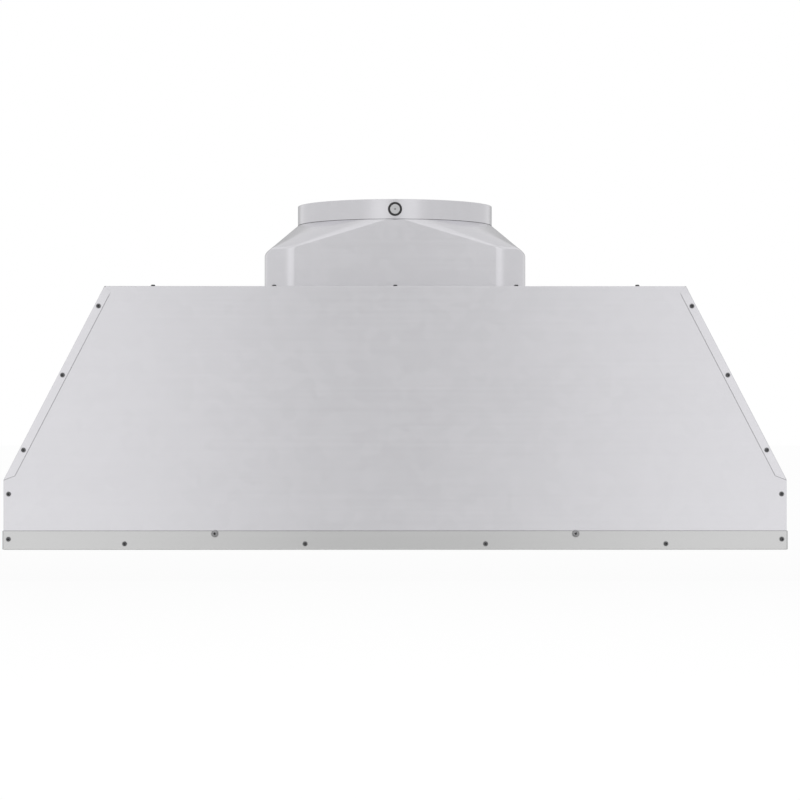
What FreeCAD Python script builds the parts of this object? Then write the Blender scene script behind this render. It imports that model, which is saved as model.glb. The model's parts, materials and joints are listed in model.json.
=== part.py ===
import FreeCAD, Part
import math
import os

# Range hood liner. Millimetres. Foot of the rim at z = 0, front towards -Y, +X to the right.

# Body shell
BODY_WIDTH = 914.4
BODY_DEPTH = 609.6
BODY_HEIGHT = 306.7
TOP_WIDTH = 676.8
UPRIGHT_HEIGHT = 81.3
SHEET = 1.0
TOP_FLANGE = 18.0
SEAM_STRIP = 9.5
STRIP_FOOT_RISE = 5.0
STRIP_HEAD_DROP = 7.0
LOWER_FLANGE = 14.0
FIT_GAP = 0.2
CUT_MARGIN = 1.0

# Rim channels
RIM_SHEET = 1.5
RIM_HEIGHT = 24.0
RIM_FLOOR = 32.0
RIM_INNER_WALL = 22.0
RIM_CORNER = 3.0
RIM_BEND = 1.2

# Screws
SCREW_HEAD = 6.0
SCREW_SHANK = 3.0
SCREW_LENGTH = 7.0
RAIL_SCREW_HEAD = 7.6
RAIL_SCREW_SHANK = 4.0
RAIL_SCREW_LENGTH = 9.0
HEAD_PROPORTION = 0.36
HEAD_CROWN_SHARE = 0.6
RECESS_ARM_SHARE = 0.3
RECESS_SLOT_SHARE = 0.07
RECESS_FLOOR_SHARE = 0.45
RIM_SCREW_PITCH = 104.9
RIM_SCREW_Z = 7.0
RAIL_SCREW_Z = 18.8
CORNER_SCREW_INSET = 6.0
CORNER_SCREW_Z = 12.4
UPRIGHT_SCREW_DROP = 16.5
STRIP_SCREW_RISES = (34.7, 121.9, 202.2)
TOP_SCREW_PITCH = 141.3
TOP_SCREW_INSET = 9.0
SIDE_TOP_SCREW_PITCH = 160.0

# Duct outlet
COLLAR_DIAMETER = 250.0
COLLAR_HEIGHT = 24.7
OUTLET_WIDTH = 328.0
OUTLET_CORNER = 41.0
OUTLET_WALL = 53.0
OUTLET_RISE = 91.8
OUTLET_FLANGE = 16.0

# Damper
AXLE_DIAMETER = 6.0
AXLE_END_DIAMETER = 12.0
AXLE_DIMPLE = 2.6
BUSH_DIAMETER = 17.2
BUSH_FLANGE_DIAMETER = 21.0
BUSH_FLANGE = 1.5
BUSH_PROUD = 0.1
FLAP_SHEET = 1.0
FLAP_EDGE_GAP = 0.9
FLAP_REST_GAP = 0.3
FLAP_ROOT = 5.6
KNUCKLE_WALL = 1.4
KNUCKLE_LENGTH = 24.0
KNUCKLE_PITCH = 42.0
KNUCKLE_STEPS = (-1.5, 0.5)
RUN_GAP = 0.05

# Underside panels
LAMP_PANEL_DEPTH = 88.0
PANEL_DOWN_FLANGE = 12.0
PANEL_UP_FLANGE = 22.0
PANEL_END_GAP = 1.0

# Filters
FILTER_NAMES = ("left", "middle", "right")
FILTER_HEIGHT = 18.0
FILTER_LIFT = 1.0
FILTER_SIDE_GAP = 3.0
FILTER_SPACING = 6.0
FILTER_FRONT_GAP = 2.0
FILTER_SHEET = 1.0
FILTER_LIP = 12.0
BAFFLE_COUNT = 7
BAFFLE_SHEET = 0.8
BAFFLE_SHARE = 0.64
BAFFLE_ROW_GAP = 1.4
HINGE_ROD_DIAMETER = 5.0
HINGE_INSET = 28.0
HINGE_SETBACK = 9.0
HOOK_WALL = 2.0
HOOK_LENGTH = 20.0
HOOK_SPREAD = 180.0
EAR_SHEET = 2.0
EAR_END_GAP = 1.0
RAIL_SETBACK = 8.0
HANDLE_SPAN = 90.0
HANDLE_DROP = 17.0
HANDLE_DIAMETER = 5.0
HANDLE_BEND = 7.0
CATCH_DIAMETER = 8.0
CATCH_LENGTH = 12.0
CATCH_NOSE = 1.0
CATCH_GAP = 0.4

# Lamps
LAMP_OFFSET = 270.0
LAMP_BODY_DIAMETER = 65.0
LAMP_BODY_HEIGHT = 26.0
LAMP_LENS_DIAMETER = 58.0
LAMP_BEZEL_DIAMETER = 80.0
LAMP_BEZEL_HEIGHT = 3.5
LAMP_BEZEL_EDGE = 2.1

# Push buttons
BUTTON_COUNT = 5
BUTTON_PITCH = 26.0
BUTTON_DIAMETER = 16.0
BUTTON_PROUD = 4.0
BUTTON_EDGE = 1.2
BUTTON_FLANGE_DIAMETER = 18.4
BUTTON_FLANGE = 1.5
BUTTON_STEM_DIAMETER = 6.0
BUTTON_STEM = 4.5
BUTTON_TRAVEL = 2.5
BUTTON_SLOT_GAP = 1.0
SWITCH_BEZEL_HEIGHT = 3.0
SWITCH_MARGIN = 16.0
SWITCH_DEPTH = 34.0
SWITCH_HEIGHT = 27.0

# Blower
BLOWER_Y = -80.0
BLOWER_DROP = 132.0
SCROLL_SHEET = 1.0
SCROLL_INNER_X = 62.0
SCROLL_WIDTH = 88.0
SCROLL_START = 88.0
SCROLL_GROWTH = 34.0
SCROLL_TONGUE_DEG = 60.0
SCROLL_STEPS = 20
SCROLL_FLANGE = 10.0
INLET_DIAMETER = 140.0
INLET_FLANGE = 14.0
INLET_THROAT = 5.5
INLET_TAPER = 5.0
IMPELLER_DIAMETER = 160.0
IMPELLER_SIDE_GAP = 8.0
IMPELLER_RING = 14.0
IMPELLER_SHEET = 2.0
BLADE_COUNT = 32
BLADE_SHEET = 1.2
BLADE_LEAN_DEG = 32.0
BLADE_REACH_SHARE = 0.42
HUB_DIAMETER = 28.0
HUB_LENGTH = 22.0
SHAFT_DIAMETER = 10.0
SHAFT_HOLE_DIAMETER = 48.0

# Motor
MOTOR_DIAMETER = 104.0
MOTOR_WALL = 2.4
MOTOR_END = 8.0
MOTOR_BOSS_COUNT = 3
MOTOR_BOSS_LENGTH = 6.0
MOTOR_BOSS_DIAMETER = 12.0
MOTOR_BOSS_CIRCLE = 76.0
BEARING_DIAMETER = 22.0
STATOR_BORE = 60.0
STATOR_LENGTH = 60.0
AIR_GAP = 0.8
GLAND_DIAMETER = 14.0
GLAND_LENGTH = 10.0

# Electrics
BOX_X = 240.0
BOX_REAR_INSET = 97.3
BOX_WIDTH = 110.0
BOX_DEPTH = 80.0
BOX_HEIGHT = 50.0
BOX_SHEET = 1.0
BOX_FLANGE = 12.0
BOX_COVER_LIP = 7.0
KNOCKOUT_DIAMETER = 22.2
CAPACITOR_DIAMETER = 40.0
CAPACITOR_LENGTH = 72.0
CAPACITOR_STUD = 8.0
CAPACITOR_NUT = 13.0
CAPACITOR_NUT_HEIGHT = 6.0
CABLE_HOLE = 8.2

# Mounting holes
HANGER_SPACING_X = 580.0
HANGER_SPACING_Y = 524.0
HANGER_HOLE = 7.0
CABINET_SPACING = 400.0
CABINET_HOLE_Z = 52.0
CABINET_HOLE = 5.2

# Derived frame of the shell
ORIGIN = FreeCAD.Vector(0, 0, 0)
X_AXIS = FreeCAD.Vector(1, 0, 0)
Y_AXIS = FreeCAD.Vector(0, 1, 0)
Z_AXIS = FreeCAD.Vector(0, 0, 1)
half_width = BODY_WIDTH / 2 - RIM_SHEET
half_depth = BODY_DEPTH / 2 - RIM_SHEET
inner_depth = half_depth - SHEET
half_top = TOP_WIDTH / 2
foot_z = RIM_SHEET
slope_run = half_width - half_top
slope_rise = BODY_HEIGHT - UPRIGHT_HEIGHT
slope_length = math.hypot(slope_run, slope_rise)
plate_top = BODY_HEIGHT - SHEET
plate_under = plate_top - SHEET
inner_x = BODY_WIDTH / 2 - RIM_FLOOR
inner_y = BODY_DEPTH / 2 - RIM_FLOOR
box_y = inner_depth - BOX_REAR_INSET

# Derived levels of the underside
panel_z = RIM_INNER_WALL
panel_top = panel_z + SHEET
panel_half = half_width - LOWER_FLANGE - PANEL_END_GAP
lamp_panel_rear = LAMP_PANEL_DEPTH - inner_y
lamp_y = LAMP_PANEL_DEPTH / 2 - inner_y
filter_low = panel_z + FILTER_LIFT
filter_high = filter_low + FILTER_HEIGHT
filter_front = lamp_panel_rear + FILTER_FRONT_GAP
hinge_y = inner_y - HINGE_INSET
hinge_z = filter_low + FILTER_HEIGHT / 2
filter_rear = hinge_y - HINGE_SETBACK
filter_gaps = 2 * FILTER_SIDE_GAP + (len(FILTER_NAMES) - 1) * FILTER_SPACING
filter_width = (2 * inner_x - filter_gaps) / len(FILTER_NAMES)
hinge_bore = HINGE_ROD_DIAMETER + 2 * RUN_GAP
hook_radius = hinge_bore / 2 + HOOK_WALL
rail_front = hinge_y + RAIL_SETBACK

# Derived levels of the duct outlet
collar_radius = COLLAR_DIAMETER / 2
collar_bore = collar_radius - SHEET
collar_seat = BODY_HEIGHT + OUTLET_RISE
axle_z = collar_seat + COLLAR_HEIGHT / 2
neck_radius = collar_bore - FIT_GAP
neck_bore = neck_radius - SHEET
bush_face = math.sqrt(collar_bore ** 2 - (BUSH_FLANGE_DIAMETER / 2) ** 2)
bush_inside = bush_face - BUSH_FLANGE
bush_room = BUSH_FLANGE_DIAMETER + 2 * FLAP_EDGE_GAP

# Derived frame of the blower
blower_z = plate_under - BLOWER_DROP
scroll_outer_x = SCROLL_INNER_X + SCROLL_WIDTH
scroll_end = SCROLL_START + SCROLL_GROWTH
scroll_tongue = math.radians(SCROLL_TONGUE_DEG)
outlet_y_low = BLOWER_Y + SCROLL_START * math.cos(scroll_tongue)
outlet_y_high = BLOWER_Y + scroll_end
impeller_back = SCROLL_INNER_X + IMPELLER_SIDE_GAP
impeller_front = scroll_outer_x - IMPELLER_SIDE_GAP
motor_half = SCROLL_INNER_X - MOTOR_BOSS_LENGTH


def vec(x, y, z):
    return FreeCAD.Vector(x, y, z)


def block(x_span, y_span, z_span):
    size = [span[1] - span[0] for span in (x_span, y_span, z_span)]
    return Part.makeBox(size[0], size[1], size[2], vec(x_span[0], y_span[0], z_span[0]))


def both(half):
    return (-half, half)


def polygon_prism(points, travel):
    wire = Part.makePolygon(points + [points[0]])
    return Part.Face(wire).extrude(travel)


def prism_along_y(outline, y_span):
    points = [vec(x, y_span[0], z) for x, z in outline]
    return polygon_prism(points, vec(0, y_span[1] - y_span[0], 0))


def prism_along_z(outline, z_span):
    points = [vec(x, y, z_span[0]) for x, y in outline]
    return polygon_prism(points, vec(0, 0, z_span[1] - z_span[0]))


def rod(start, axis, diameter, length):
    return Part.makeCylinder(diameter / 2, length, start, axis)


def tube(start, axis, outer, bore, length):
    return rod(start, axis, outer, length).cut(rod(start, axis, bore, length))


def joined(shapes):
    return shapes[0].multiFuse(shapes[1:]).removeSplitter()


def without(shape, tools):
    return shape.cut(Part.makeCompound(tools)).removeSplitter()


def flipped_x(shape):
    return shape.mirror(ORIGIN, X_AXIS)


def flipped_y(shape):
    return shape.mirror(ORIGIN, Y_AXIS)


def slope_x(z, inset):
    """Half-width of the sloping side at height z, moved inwards square to the slope."""
    return half_width - ((z - UPRIGHT_HEIGHT) * slope_run + inset * slope_length) / slope_rise


def knee_z(inset):
    """Height where the inset slope meets the inset upright."""
    return UPRIGHT_HEIGHT - inset * (slope_length - slope_rise) / slope_run


def line_of_runs(points, bend):
    """Path of straight runs with an arc of the given bend at each inner point."""
    edges = []
    start = points[0]
    for before, corner, after in zip(points, points[1:], points[2:]):
        back = (before - corner).normalize()
        ahead = (after - corner).normalize()
        half_turn = (math.pi - back.getAngle(ahead)) / 2
        reach = bend * math.tan(half_turn)
        inwards = (back + ahead).normalize()
        first = corner + back * reach
        last = corner + ahead * reach
        middle = corner + inwards * (bend / math.cos(half_turn) - bend)
        edges.append(Part.makeLine(start, first))
        edges.append(Part.Arc(first, middle, last).toShape())
        start = last
    edges.append(Part.makeLine(start, points[-1]))
    return Part.Wire(edges)


def bent_rod(points, diameter, bend):
    path = line_of_runs(points, bend)
    section = Part.Wire(Part.makeCircle(diameter / 2, points[0], points[1] - points[0]))
    return path.makePipeShell([section], True, False)


def screw(point, outward, head, shank, length):
    """Pan-head cross-recess screw whose head seats at the point."""
    head_height = head * HEAD_PROPORTION
    cap = Part.makeCylinder(head / 2, head_height)
    crown = [edge for edge in cap.Edges if edge.BoundBox.ZMin > head_height / 2]
    cap = cap.makeFillet(head_height * HEAD_CROWN_SHARE, crown)
    arm = head * RECESS_ARM_SHARE
    slot = head * RECESS_SLOT_SHARE
    recess_z = (head_height * RECESS_FLOOR_SHARE, head_height + CUT_MARGIN)
    recess = [block(both(arm), both(slot), recess_z), block(both(slot), both(arm), recess_z)]
    shape = cap.cut(Part.makeCompound(recess)).fuse(rod(ORIGIN, -Z_AXIS, shank, length))
    shape.Placement = FreeCAD.Placement(point, FreeCAD.Rotation(Z_AXIS, outward))
    return shape


def small_screw(site):
    return screw(site[0], site[1], SCREW_HEAD, SCREW_SHANK, SCREW_LENGTH)


def rail_screw(site):
    return screw(site[0], site[1], RAIL_SCREW_HEAD, RAIL_SCREW_SHANK, RAIL_SCREW_LENGTH)


def screw_hole(site, shank, length):
    point, outward = site
    start = point + outward * shank
    return rod(start, outward * -1, shank + FIT_GAP, length + 2 * shank)


def small_holes(sites):
    return [screw_hole(site, SCREW_SHANK, SCREW_LENGTH) for site in sites]


def rail_holes(sites):
    return [screw_hole(site, RAIL_SCREW_SHANK, RAIL_SCREW_LENGTH) for site in sites]


def mirrored_sites(sites):
    """The same screw sites on the rear of the body."""
    return [(vec(p.x, -p.y, p.z), vec(n.x, -n.y, n.z)) for p, n in sites]


def strip_sites():
    sites = []
    for rise in STRIP_SCREW_RISES:
        z = UPRIGHT_HEIGHT + rise
        x = slope_x(z, SEAM_STRIP / 2)
        sites += [(vec(side * x, -half_depth - SHEET, z), -Y_AXIS) for side in (-1, 1)]
    return sites


def upright_sites():
    x = half_width - CORNER_SCREW_INSET
    z = UPRIGHT_HEIGHT - UPRIGHT_SCREW_DROP
    return [(vec(side * x, -half_depth, z), -Y_AXIS) for side in (-1, 1)]


def corner_sites():
    x = half_width - CORNER_SCREW_INSET
    return [(vec(side * x, -BODY_DEPTH / 2, CORNER_SCREW_Z), -Y_AXIS) for side in (-1, 1)]


def rim_sites():
    steps = (-3, -1, 1, 3)
    return [(vec(n * RIM_SCREW_PITCH, -BODY_DEPTH / 2, RIM_SCREW_Z), -Y_AXIS) for n in steps]


def rail_sites():
    steps = (-2, 2)
    return [(vec(n * RIM_SCREW_PITCH, -BODY_DEPTH / 2, RAIL_SCREW_Z), -Y_AXIS) for n in steps]


def front_small_sites():
    return strip_sites() + upright_sites() + corner_sites() + rim_sites()


def front_top_sites():
    y = TOP_SCREW_INSET - half_depth
    return [(vec(n * TOP_SCREW_PITCH, y, BODY_HEIGHT), Z_AXIS) for n in range(-2, 3)]


def side_top_sites():
    x = half_top - TOP_FLANGE / 2
    return [(vec(x, n * SIDE_TOP_SCREW_PITCH, BODY_HEIGHT), Z_AXIS) for n in (-1, 0, 1)]


def outlet_sites():
    x = OUTLET_WIDTH / 2 + OUTLET_FLANGE / 2
    y = collar_radius + OUTLET_FLANGE / 2
    spots = [(x, collar_radius / 2), (x, -collar_radius / 2)]
    spots += [(-a, b) for a, b in spots]
    spots += [(a * OUTLET_WIDTH / 4, b * y) for a in (-1, 1) for b in (-1, 1)]
    return [(vec(a, b, BODY_HEIGHT), Z_AXIS) for a, b in spots]


def scroll_sites():
    """Screws up through one scroll's outlet flange, on the right-hand side."""
    half = SCROLL_FLANGE / 2
    xs = (SCROLL_INNER_X - half, scroll_outer_x + half)
    ys = (outlet_y_low - half, outlet_y_high + half)
    z = plate_under - SCROLL_SHEET
    return [(vec(x, y, z), -Z_AXIS) for x in xs for y in ys]


def box_sites():
    x = BOX_WIDTH / 2 + BOX_FLANGE / 2
    z = plate_under - BOX_SHEET
    return [(vec(BOX_X + side * x, box_y, z), -Z_AXIS) for side in (-1, 1)]


def front_panel():
    step_z = UPRIGHT_HEIGHT - FIT_GAP
    inset = SHEET + FIT_GAP
    right = [(half_width, foot_z), (half_width, step_z), (slope_x(step_z, inset), step_z)]
    right.append((slope_x(BODY_HEIGHT, inset), BODY_HEIGHT))
    outline = right + [(-x, z) for x, z in reversed(right)]
    plate = prism_along_y(outline, (-half_depth, -inner_depth))
    flange_half = half_top - TOP_FLANGE - FIT_GAP
    flange = block(both(flange_half), (-half_depth, TOP_FLANGE - half_depth), (plate_top, BODY_HEIGHT))
    panel = joined([plate, flange])
    holes = small_holes(front_small_sites() + front_top_sites()) + rail_holes(rail_sites())
    return without(panel, holes)


def right_side_panel():
    outer = [(half_width, foot_z), (half_width, UPRIGHT_HEIGHT), (half_top, BODY_HEIGHT)]
    outer.append((half_top - TOP_FLANGE, BODY_HEIGHT))
    inner = [(half_top - TOP_FLANGE, plate_top), (slope_x(plate_top, SHEET), plate_top)]
    inner += [(half_width - SHEET, knee_z(SHEET)), (half_width - SHEET, foot_z)]
    wall = prism_along_y(outer + inner, both(inner_depth))
    band = [(half_width, UPRIGHT_HEIGHT), (half_top, BODY_HEIGHT)]
    band += [(slope_x(BODY_HEIGHT, SHEET), BODY_HEIGHT), (slope_x(UPRIGHT_HEIGHT, SHEET), UPRIGHT_HEIGHT)]
    head_z = BODY_HEIGHT - STRIP_HEAD_DROP
    low_z = UPRIGHT_HEIGHT + STRIP_FOOT_RISE
    strip = [band[0], band[1], (slope_x(head_z, SEAM_STRIP), head_z), (slope_x(low_z, SEAM_STRIP), low_z)]
    front = [prism_along_y(band, (-half_depth - SHEET, -inner_depth))]
    front.append(prism_along_y(strip, (-half_depth - SHEET, -half_depth)))
    tuck_x = (half_width - LOWER_FLANGE, half_width - SHEET)
    tuck_z = (foot_z, UPRIGHT_HEIGHT - LOWER_FLANGE / 2)
    front.append(block(tuck_x, (-inner_depth, SHEET - inner_depth), tuck_z))
    panel = joined([wall] + front + [flipped_y(shape) for shape in front])
    edge_sites = strip_sites() + upright_sites() + corner_sites()
    holes = small_holes(edge_sites + mirrored_sites(edge_sites) + side_top_sites())
    for side in (-1, 1):
        start = vec(half_width + SHEET, side * CABINET_SPACING / 2, CABINET_HOLE_Z)
        holes.append(rod(start, -X_AXIS, CABINET_HOLE, 3 * SHEET))
    return without(panel, holes)


def plate_sheets():
    """Five rectangles of sheet that leave the two scroll mouths open, butted edge to edge."""
    plate_half = slope_x(plate_top, SHEET + FIT_GAP)
    mouth_x = (SCROLL_INNER_X + SCROLL_SHEET, scroll_outer_x - SCROLL_SHEET)
    mouth_y = (outlet_y_low + SCROLL_SHEET, outlet_y_high - SCROLL_SHEET)
    span_z = (plate_under, plate_top)
    front = block(both(plate_half), (-inner_depth, mouth_y[0]), span_z)
    rear = block(both(plate_half), (mouth_y[1], inner_depth), span_z)
    middle = block(both(mouth_x[0]), mouth_y, span_z)
    end = block((mouth_x[1], plate_half), mouth_y, span_z)
    return [front, rear, middle, end, flipped_x(end)]


def top_plate():
    right_holes = small_holes(scroll_sites() + side_top_sites())
    tools = right_holes + [flipped_x(shape) for shape in right_holes]
    tools += small_holes(front_top_sites() + mirrored_sites(front_top_sites()))
    tools += small_holes(outlet_sites() + box_sites())
    drills = [(BOX_X, box_y, KNOCKOUT_DIAMETER), (-BOX_X, box_y, CAPACITOR_STUD + FIT_GAP)]
    for x in both(HANGER_SPACING_X / 2):
        drills += [(x, y, HANGER_HOLE) for y in both(HANGER_SPACING_Y / 2)]
    for x, y, diameter in drills:
        tools.append(rod(vec(x, y, plate_under - SHEET), Z_AXIS, diameter, 3 * SHEET))
    return Part.makeCompound([without(sheet, tools) for sheet in plate_sheets()])


def rim_ring():
    """Gutter ring of the rim, before it is mitred into four channels."""
    ring = block(both(BODY_WIDTH / 2), both(BODY_DEPTH / 2), (0, RIM_HEIGHT))
    uprights = [edge for edge in ring.Edges if edge.BoundBox.ZLength > RIM_HEIGHT / 2]
    ring = ring.makeFillet(RIM_CORNER, uprights)
    lower = [edge for edge in ring.Edges if edge.BoundBox.ZMax < RIM_HEIGHT / 2]
    ring = ring.makeFillet(RIM_BEND, lower)
    ring = ring.cut(block(both(half_width), both(half_depth), (RIM_SHEET, RIM_HEIGHT + CUT_MARGIN)))
    wall_x = inner_x + RIM_SHEET
    wall_y = inner_y + RIM_SHEET
    ring = ring.fuse(block(both(wall_x), both(wall_y), (0, RIM_INNER_WALL)))
    return ring.cut(block(both(inner_x), both(inner_y), (-CUT_MARGIN, RIM_HEIGHT))).removeSplitter()


def rim_channels():
    ring = rim_ring()
    outer_x = BODY_WIDTH / 2
    outer_y = BODY_DEPTH / 2
    front_plan = [(-outer_x, -outer_y), (outer_x, -outer_y), (inner_x, -inner_y), (-inner_x, -inner_y)]
    right_plan = [(outer_x, -outer_y), (outer_x, outer_y), (inner_x, inner_y), (inner_x, -inner_y)]
    span_z = (0, RIM_HEIGHT)
    front = ring.common(prism_along_z(front_plan, span_z))
    right = ring.common(prism_along_z(right_plan, span_z))
    holes = small_holes(corner_sites() + rim_sites()) + rail_holes(rail_sites())
    return without(front, holes), right


def lamp_panel():
    plate = block(both(panel_half), (-inner_depth, lamp_panel_rear), (panel_z, panel_top))
    down_z = (panel_z - PANEL_DOWN_FLANGE, panel_top)
    up_z = (panel_z, panel_z + PANEL_UP_FLANGE)
    front = block(both(panel_half), (-inner_depth, SHEET - inner_depth), down_z)
    rear = block(both(panel_half), (lamp_panel_rear - SHEET, lamp_panel_rear), up_z)
    panel = joined([plate, front, rear])
    tools = rail_holes(rail_sites())
    for x in both(LAMP_OFFSET):
        tools.append(rod(vec(x, lamp_y, panel_z - SHEET), Z_AXIS, LAMP_BODY_DIAMETER + FIT_GAP, 3 * SHEET))
    slot_y = BUTTON_FLANGE_DIAMETER / 2 + BUTTON_SLOT_GAP
    slot_half = (BUTTON_COUNT - 1) * BUTTON_PITCH / 2 + slot_y
    slot = block(both(slot_half), (lamp_y - slot_y, lamp_y + slot_y), (panel_z - SHEET, panel_top + SHEET))
    tools.append(slot)
    for centre in filter_centres():
        start = vec(centre, lamp_panel_rear - 2 * SHEET, hinge_z)
        tools.append(rod(start, Y_AXIS, CATCH_DIAMETER + FIT_GAP, 3 * SHEET))
    return without(panel, tools)


def rear_rail():
    plate = block(both(panel_half), (rail_front, inner_depth), (panel_z, panel_top))
    down_z = (panel_z - PANEL_DOWN_FLANGE, panel_top)
    rear = block(both(panel_half), (inner_depth - SHEET, inner_depth), down_z)
    front = block(both(panel_half), (rail_front, rail_front + SHEET), (panel_z, panel_z + PANEL_UP_FLANGE))
    parts = [plate, rear, front]
    middle = filter_width / 2 + FILTER_SPACING / 2
    outer = inner_x - FILTER_SIDE_GAP + EAR_END_GAP + EAR_SHEET / 2
    ear_y = (hinge_y - hook_radius, rail_front)
    ear_z = (hinge_z - hook_radius, hinge_z + hook_radius)
    for x in (-outer, -middle, middle, outer):
        parts.append(block((x - EAR_SHEET / 2, x + EAR_SHEET / 2), ear_y, ear_z))
    bore = rod(vec(-half_width, hinge_y, hinge_z), X_AXIS, hinge_bore, 2 * half_width)
    return without(joined(parts), rail_holes(mirrored_sites(rail_sites())) + [bore])


def hinge_rod():
    half = inner_x - FILTER_SIDE_GAP + EAR_END_GAP + 2 * EAR_SHEET
    return rod(vec(-half, hinge_y, hinge_z), X_AXIS, HINGE_ROD_DIAMETER, 2 * half)


def filter_centres():
    pitch = filter_width + FILTER_SPACING
    return [(n - (len(FILTER_NAMES) - 1) / 2) * pitch for n in range(len(FILTER_NAMES))]


def filter_frame(centre):
    spans = [(centre - filter_width / 2, centre + filter_width / 2)]
    spans += [(filter_front, filter_rear), (filter_low, filter_high)]
    hollow = [(low + FILTER_SHEET, high - FILTER_SHEET) for low, high in spans]
    window = [(low + FILTER_LIP, high - FILTER_LIP) for low, high in spans[:2]] + [spans[2]]
    frame = block(*spans).cut(block(*hollow)).cut(block(*window))
    parts = [frame]
    for x in both(HOOK_SPREAD / 2):
        start = centre + x - HOOK_LENGTH / 2
        parts.append(rod(vec(start, hinge_y, hinge_z), X_AXIS, 2 * hook_radius, HOOK_LENGTH))
        web_z = (hinge_z - HOOK_WALL / 2, hinge_z + HOOK_WALL / 2)
        parts.append(block((start, start + HOOK_LENGTH), (filter_rear, hinge_y), web_z))
    bore = rod(vec(spans[0][0], hinge_y, hinge_z), X_AXIS, hinge_bore, filter_width)
    return joined(parts).cut(bore)


def baffle_channel(x, width, base_z, rise):
    """Channel outline running front to back; rise is negative for an upside-down one."""
    wall = math.copysign(BAFFLE_SHEET, rise)
    half = width / 2
    outline = [(x - half, base_z), (x + half, base_z), (x + half, base_z + rise)]
    outline += [(x + half - BAFFLE_SHEET, base_z + rise), (x + half - BAFFLE_SHEET, base_z + wall)]
    outline += [(x - half + BAFFLE_SHEET, base_z + wall), (x - half + BAFFLE_SHEET, base_z + rise)]
    outline.append((x - half, base_z + rise))
    return prism_along_y(outline, (filter_front + FILTER_SHEET, filter_rear - FILTER_SHEET))


def filter_baffles(centre):
    pitch = (filter_width - 2 * FILTER_SHEET) / BAFFLE_COUNT
    rise = (FILTER_HEIGHT - 2 * FILTER_SHEET - BAFFLE_ROW_GAP) / 2
    width = pitch * BAFFLE_SHARE
    low = filter_low + FILTER_SHEET
    high = filter_high - FILTER_SHEET
    first = centre - pitch * (BAFFLE_COUNT - 1) / 2
    channels = [baffle_channel(first + n * pitch, width, low, rise) for n in range(BAFFLE_COUNT)]
    first += pitch / 2
    channels += [baffle_channel(first + n * pitch, width, high, -rise) for n in range(BAFFLE_COUNT - 1)]
    return Part.makeCompound(channels)


def filter_handle(centre):
    y = filter_front + FILTER_LIP / 2
    ends = both(HANDLE_SPAN / 2)
    low = filter_low - HANDLE_DROP
    points = [vec(centre + ends[0], y, filter_low), vec(centre + ends[0], y, low)]
    points += [vec(centre + ends[1], y, low), vec(centre + ends[1], y, filter_low)]
    return bent_rod(points, HANDLE_DIAMETER, HANDLE_BEND)


def filter_catches():
    nose_y = filter_front - CATCH_GAP
    catches = []
    for centre in filter_centres():
        barrel = rod(vec(centre, nose_y - CATCH_LENGTH, hinge_z), Y_AXIS, CATCH_DIAMETER, CATCH_LENGTH)
        nose = [edge for edge in barrel.Edges if edge.BoundBox.YMin > nose_y - CATCH_LENGTH / 2]
        catches.append(barrel.makeFillet(CATCH_NOSE, nose))
    return Part.makeCompound(catches)


def lamp(x):
    """Bezel, lens and body of one lamp."""
    bezel_z = panel_z - LAMP_BEZEL_HEIGHT
    seat = vec(x, lamp_y, bezel_z)
    bezel = tube(seat, Z_AXIS, LAMP_BEZEL_DIAMETER, LAMP_LENS_DIAMETER + FIT_GAP, LAMP_BEZEL_HEIGHT)
    outer_edges = [edge for edge in bezel.Edges if edge.BoundBox.XLength > LAMP_LENS_DIAMETER + 2 * FIT_GAP]
    lip = [edge for edge in outer_edges if edge.BoundBox.ZMax < bezel_z + FIT_GAP]
    bezel = bezel.makeFillet(LAMP_BEZEL_EDGE, lip)
    lens_drop = LAMP_BEZEL_HEIGHT - SHEET
    lens = rod(vec(x, lamp_y, panel_z - lens_drop), Z_AXIS, LAMP_LENS_DIAMETER, lens_drop)
    body = rod(vec(x, lamp_y, panel_z), Z_AXIS, LAMP_BODY_DIAMETER, LAMP_BODY_HEIGHT)
    return bezel, lens, body


def button_xs():
    return [(n - (BUTTON_COUNT - 1) / 2) * BUTTON_PITCH for n in range(BUTTON_COUNT)]


def switch_half():
    return (BUTTON_COUNT - 1) * BUTTON_PITCH / 2 + SWITCH_MARGIN


def switch_spans(height_span):
    return both(switch_half()), (lamp_y - SWITCH_DEPTH / 2, lamp_y + SWITCH_DEPTH / 2), height_span


def switch_bezel():
    bezel = block(*switch_spans((panel_z - SWITCH_BEZEL_HEIGHT, panel_z)))
    uprights = [edge for edge in bezel.Edges if edge.BoundBox.ZLength > SWITCH_BEZEL_HEIGHT / 2]
    bezel = bezel.makeFillet(SWITCH_BEZEL_HEIGHT, uprights)
    base_z = panel_z - SWITCH_BEZEL_HEIGHT - CUT_MARGIN
    depth = SWITCH_BEZEL_HEIGHT + 2 * CUT_MARGIN
    hole = BUTTON_DIAMETER + 2 * FIT_GAP
    return without(bezel, [rod(vec(x, lamp_y, base_z), Z_AXIS, hole, depth) for x in button_xs()])


def button(x):
    low = panel_z - SWITCH_BEZEL_HEIGHT - BUTTON_PROUD
    cap = rod(vec(x, lamp_y, low), Z_AXIS, BUTTON_DIAMETER, panel_z - low + FIT_GAP)
    face = [edge for edge in cap.Edges if edge.BoundBox.ZMax < low + FIT_GAP]
    cap = cap.makeFillet(BUTTON_EDGE, face)
    flange = rod(vec(x, lamp_y, panel_z + FIT_GAP), Z_AXIS, BUTTON_FLANGE_DIAMETER, BUTTON_FLANGE)
    stem_z = panel_z + FIT_GAP + BUTTON_FLANGE
    stem = rod(vec(x, lamp_y, stem_z), Z_AXIS, BUTTON_STEM_DIAMETER, BUTTON_STEM)
    return joined([cap, flange, stem])


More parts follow.
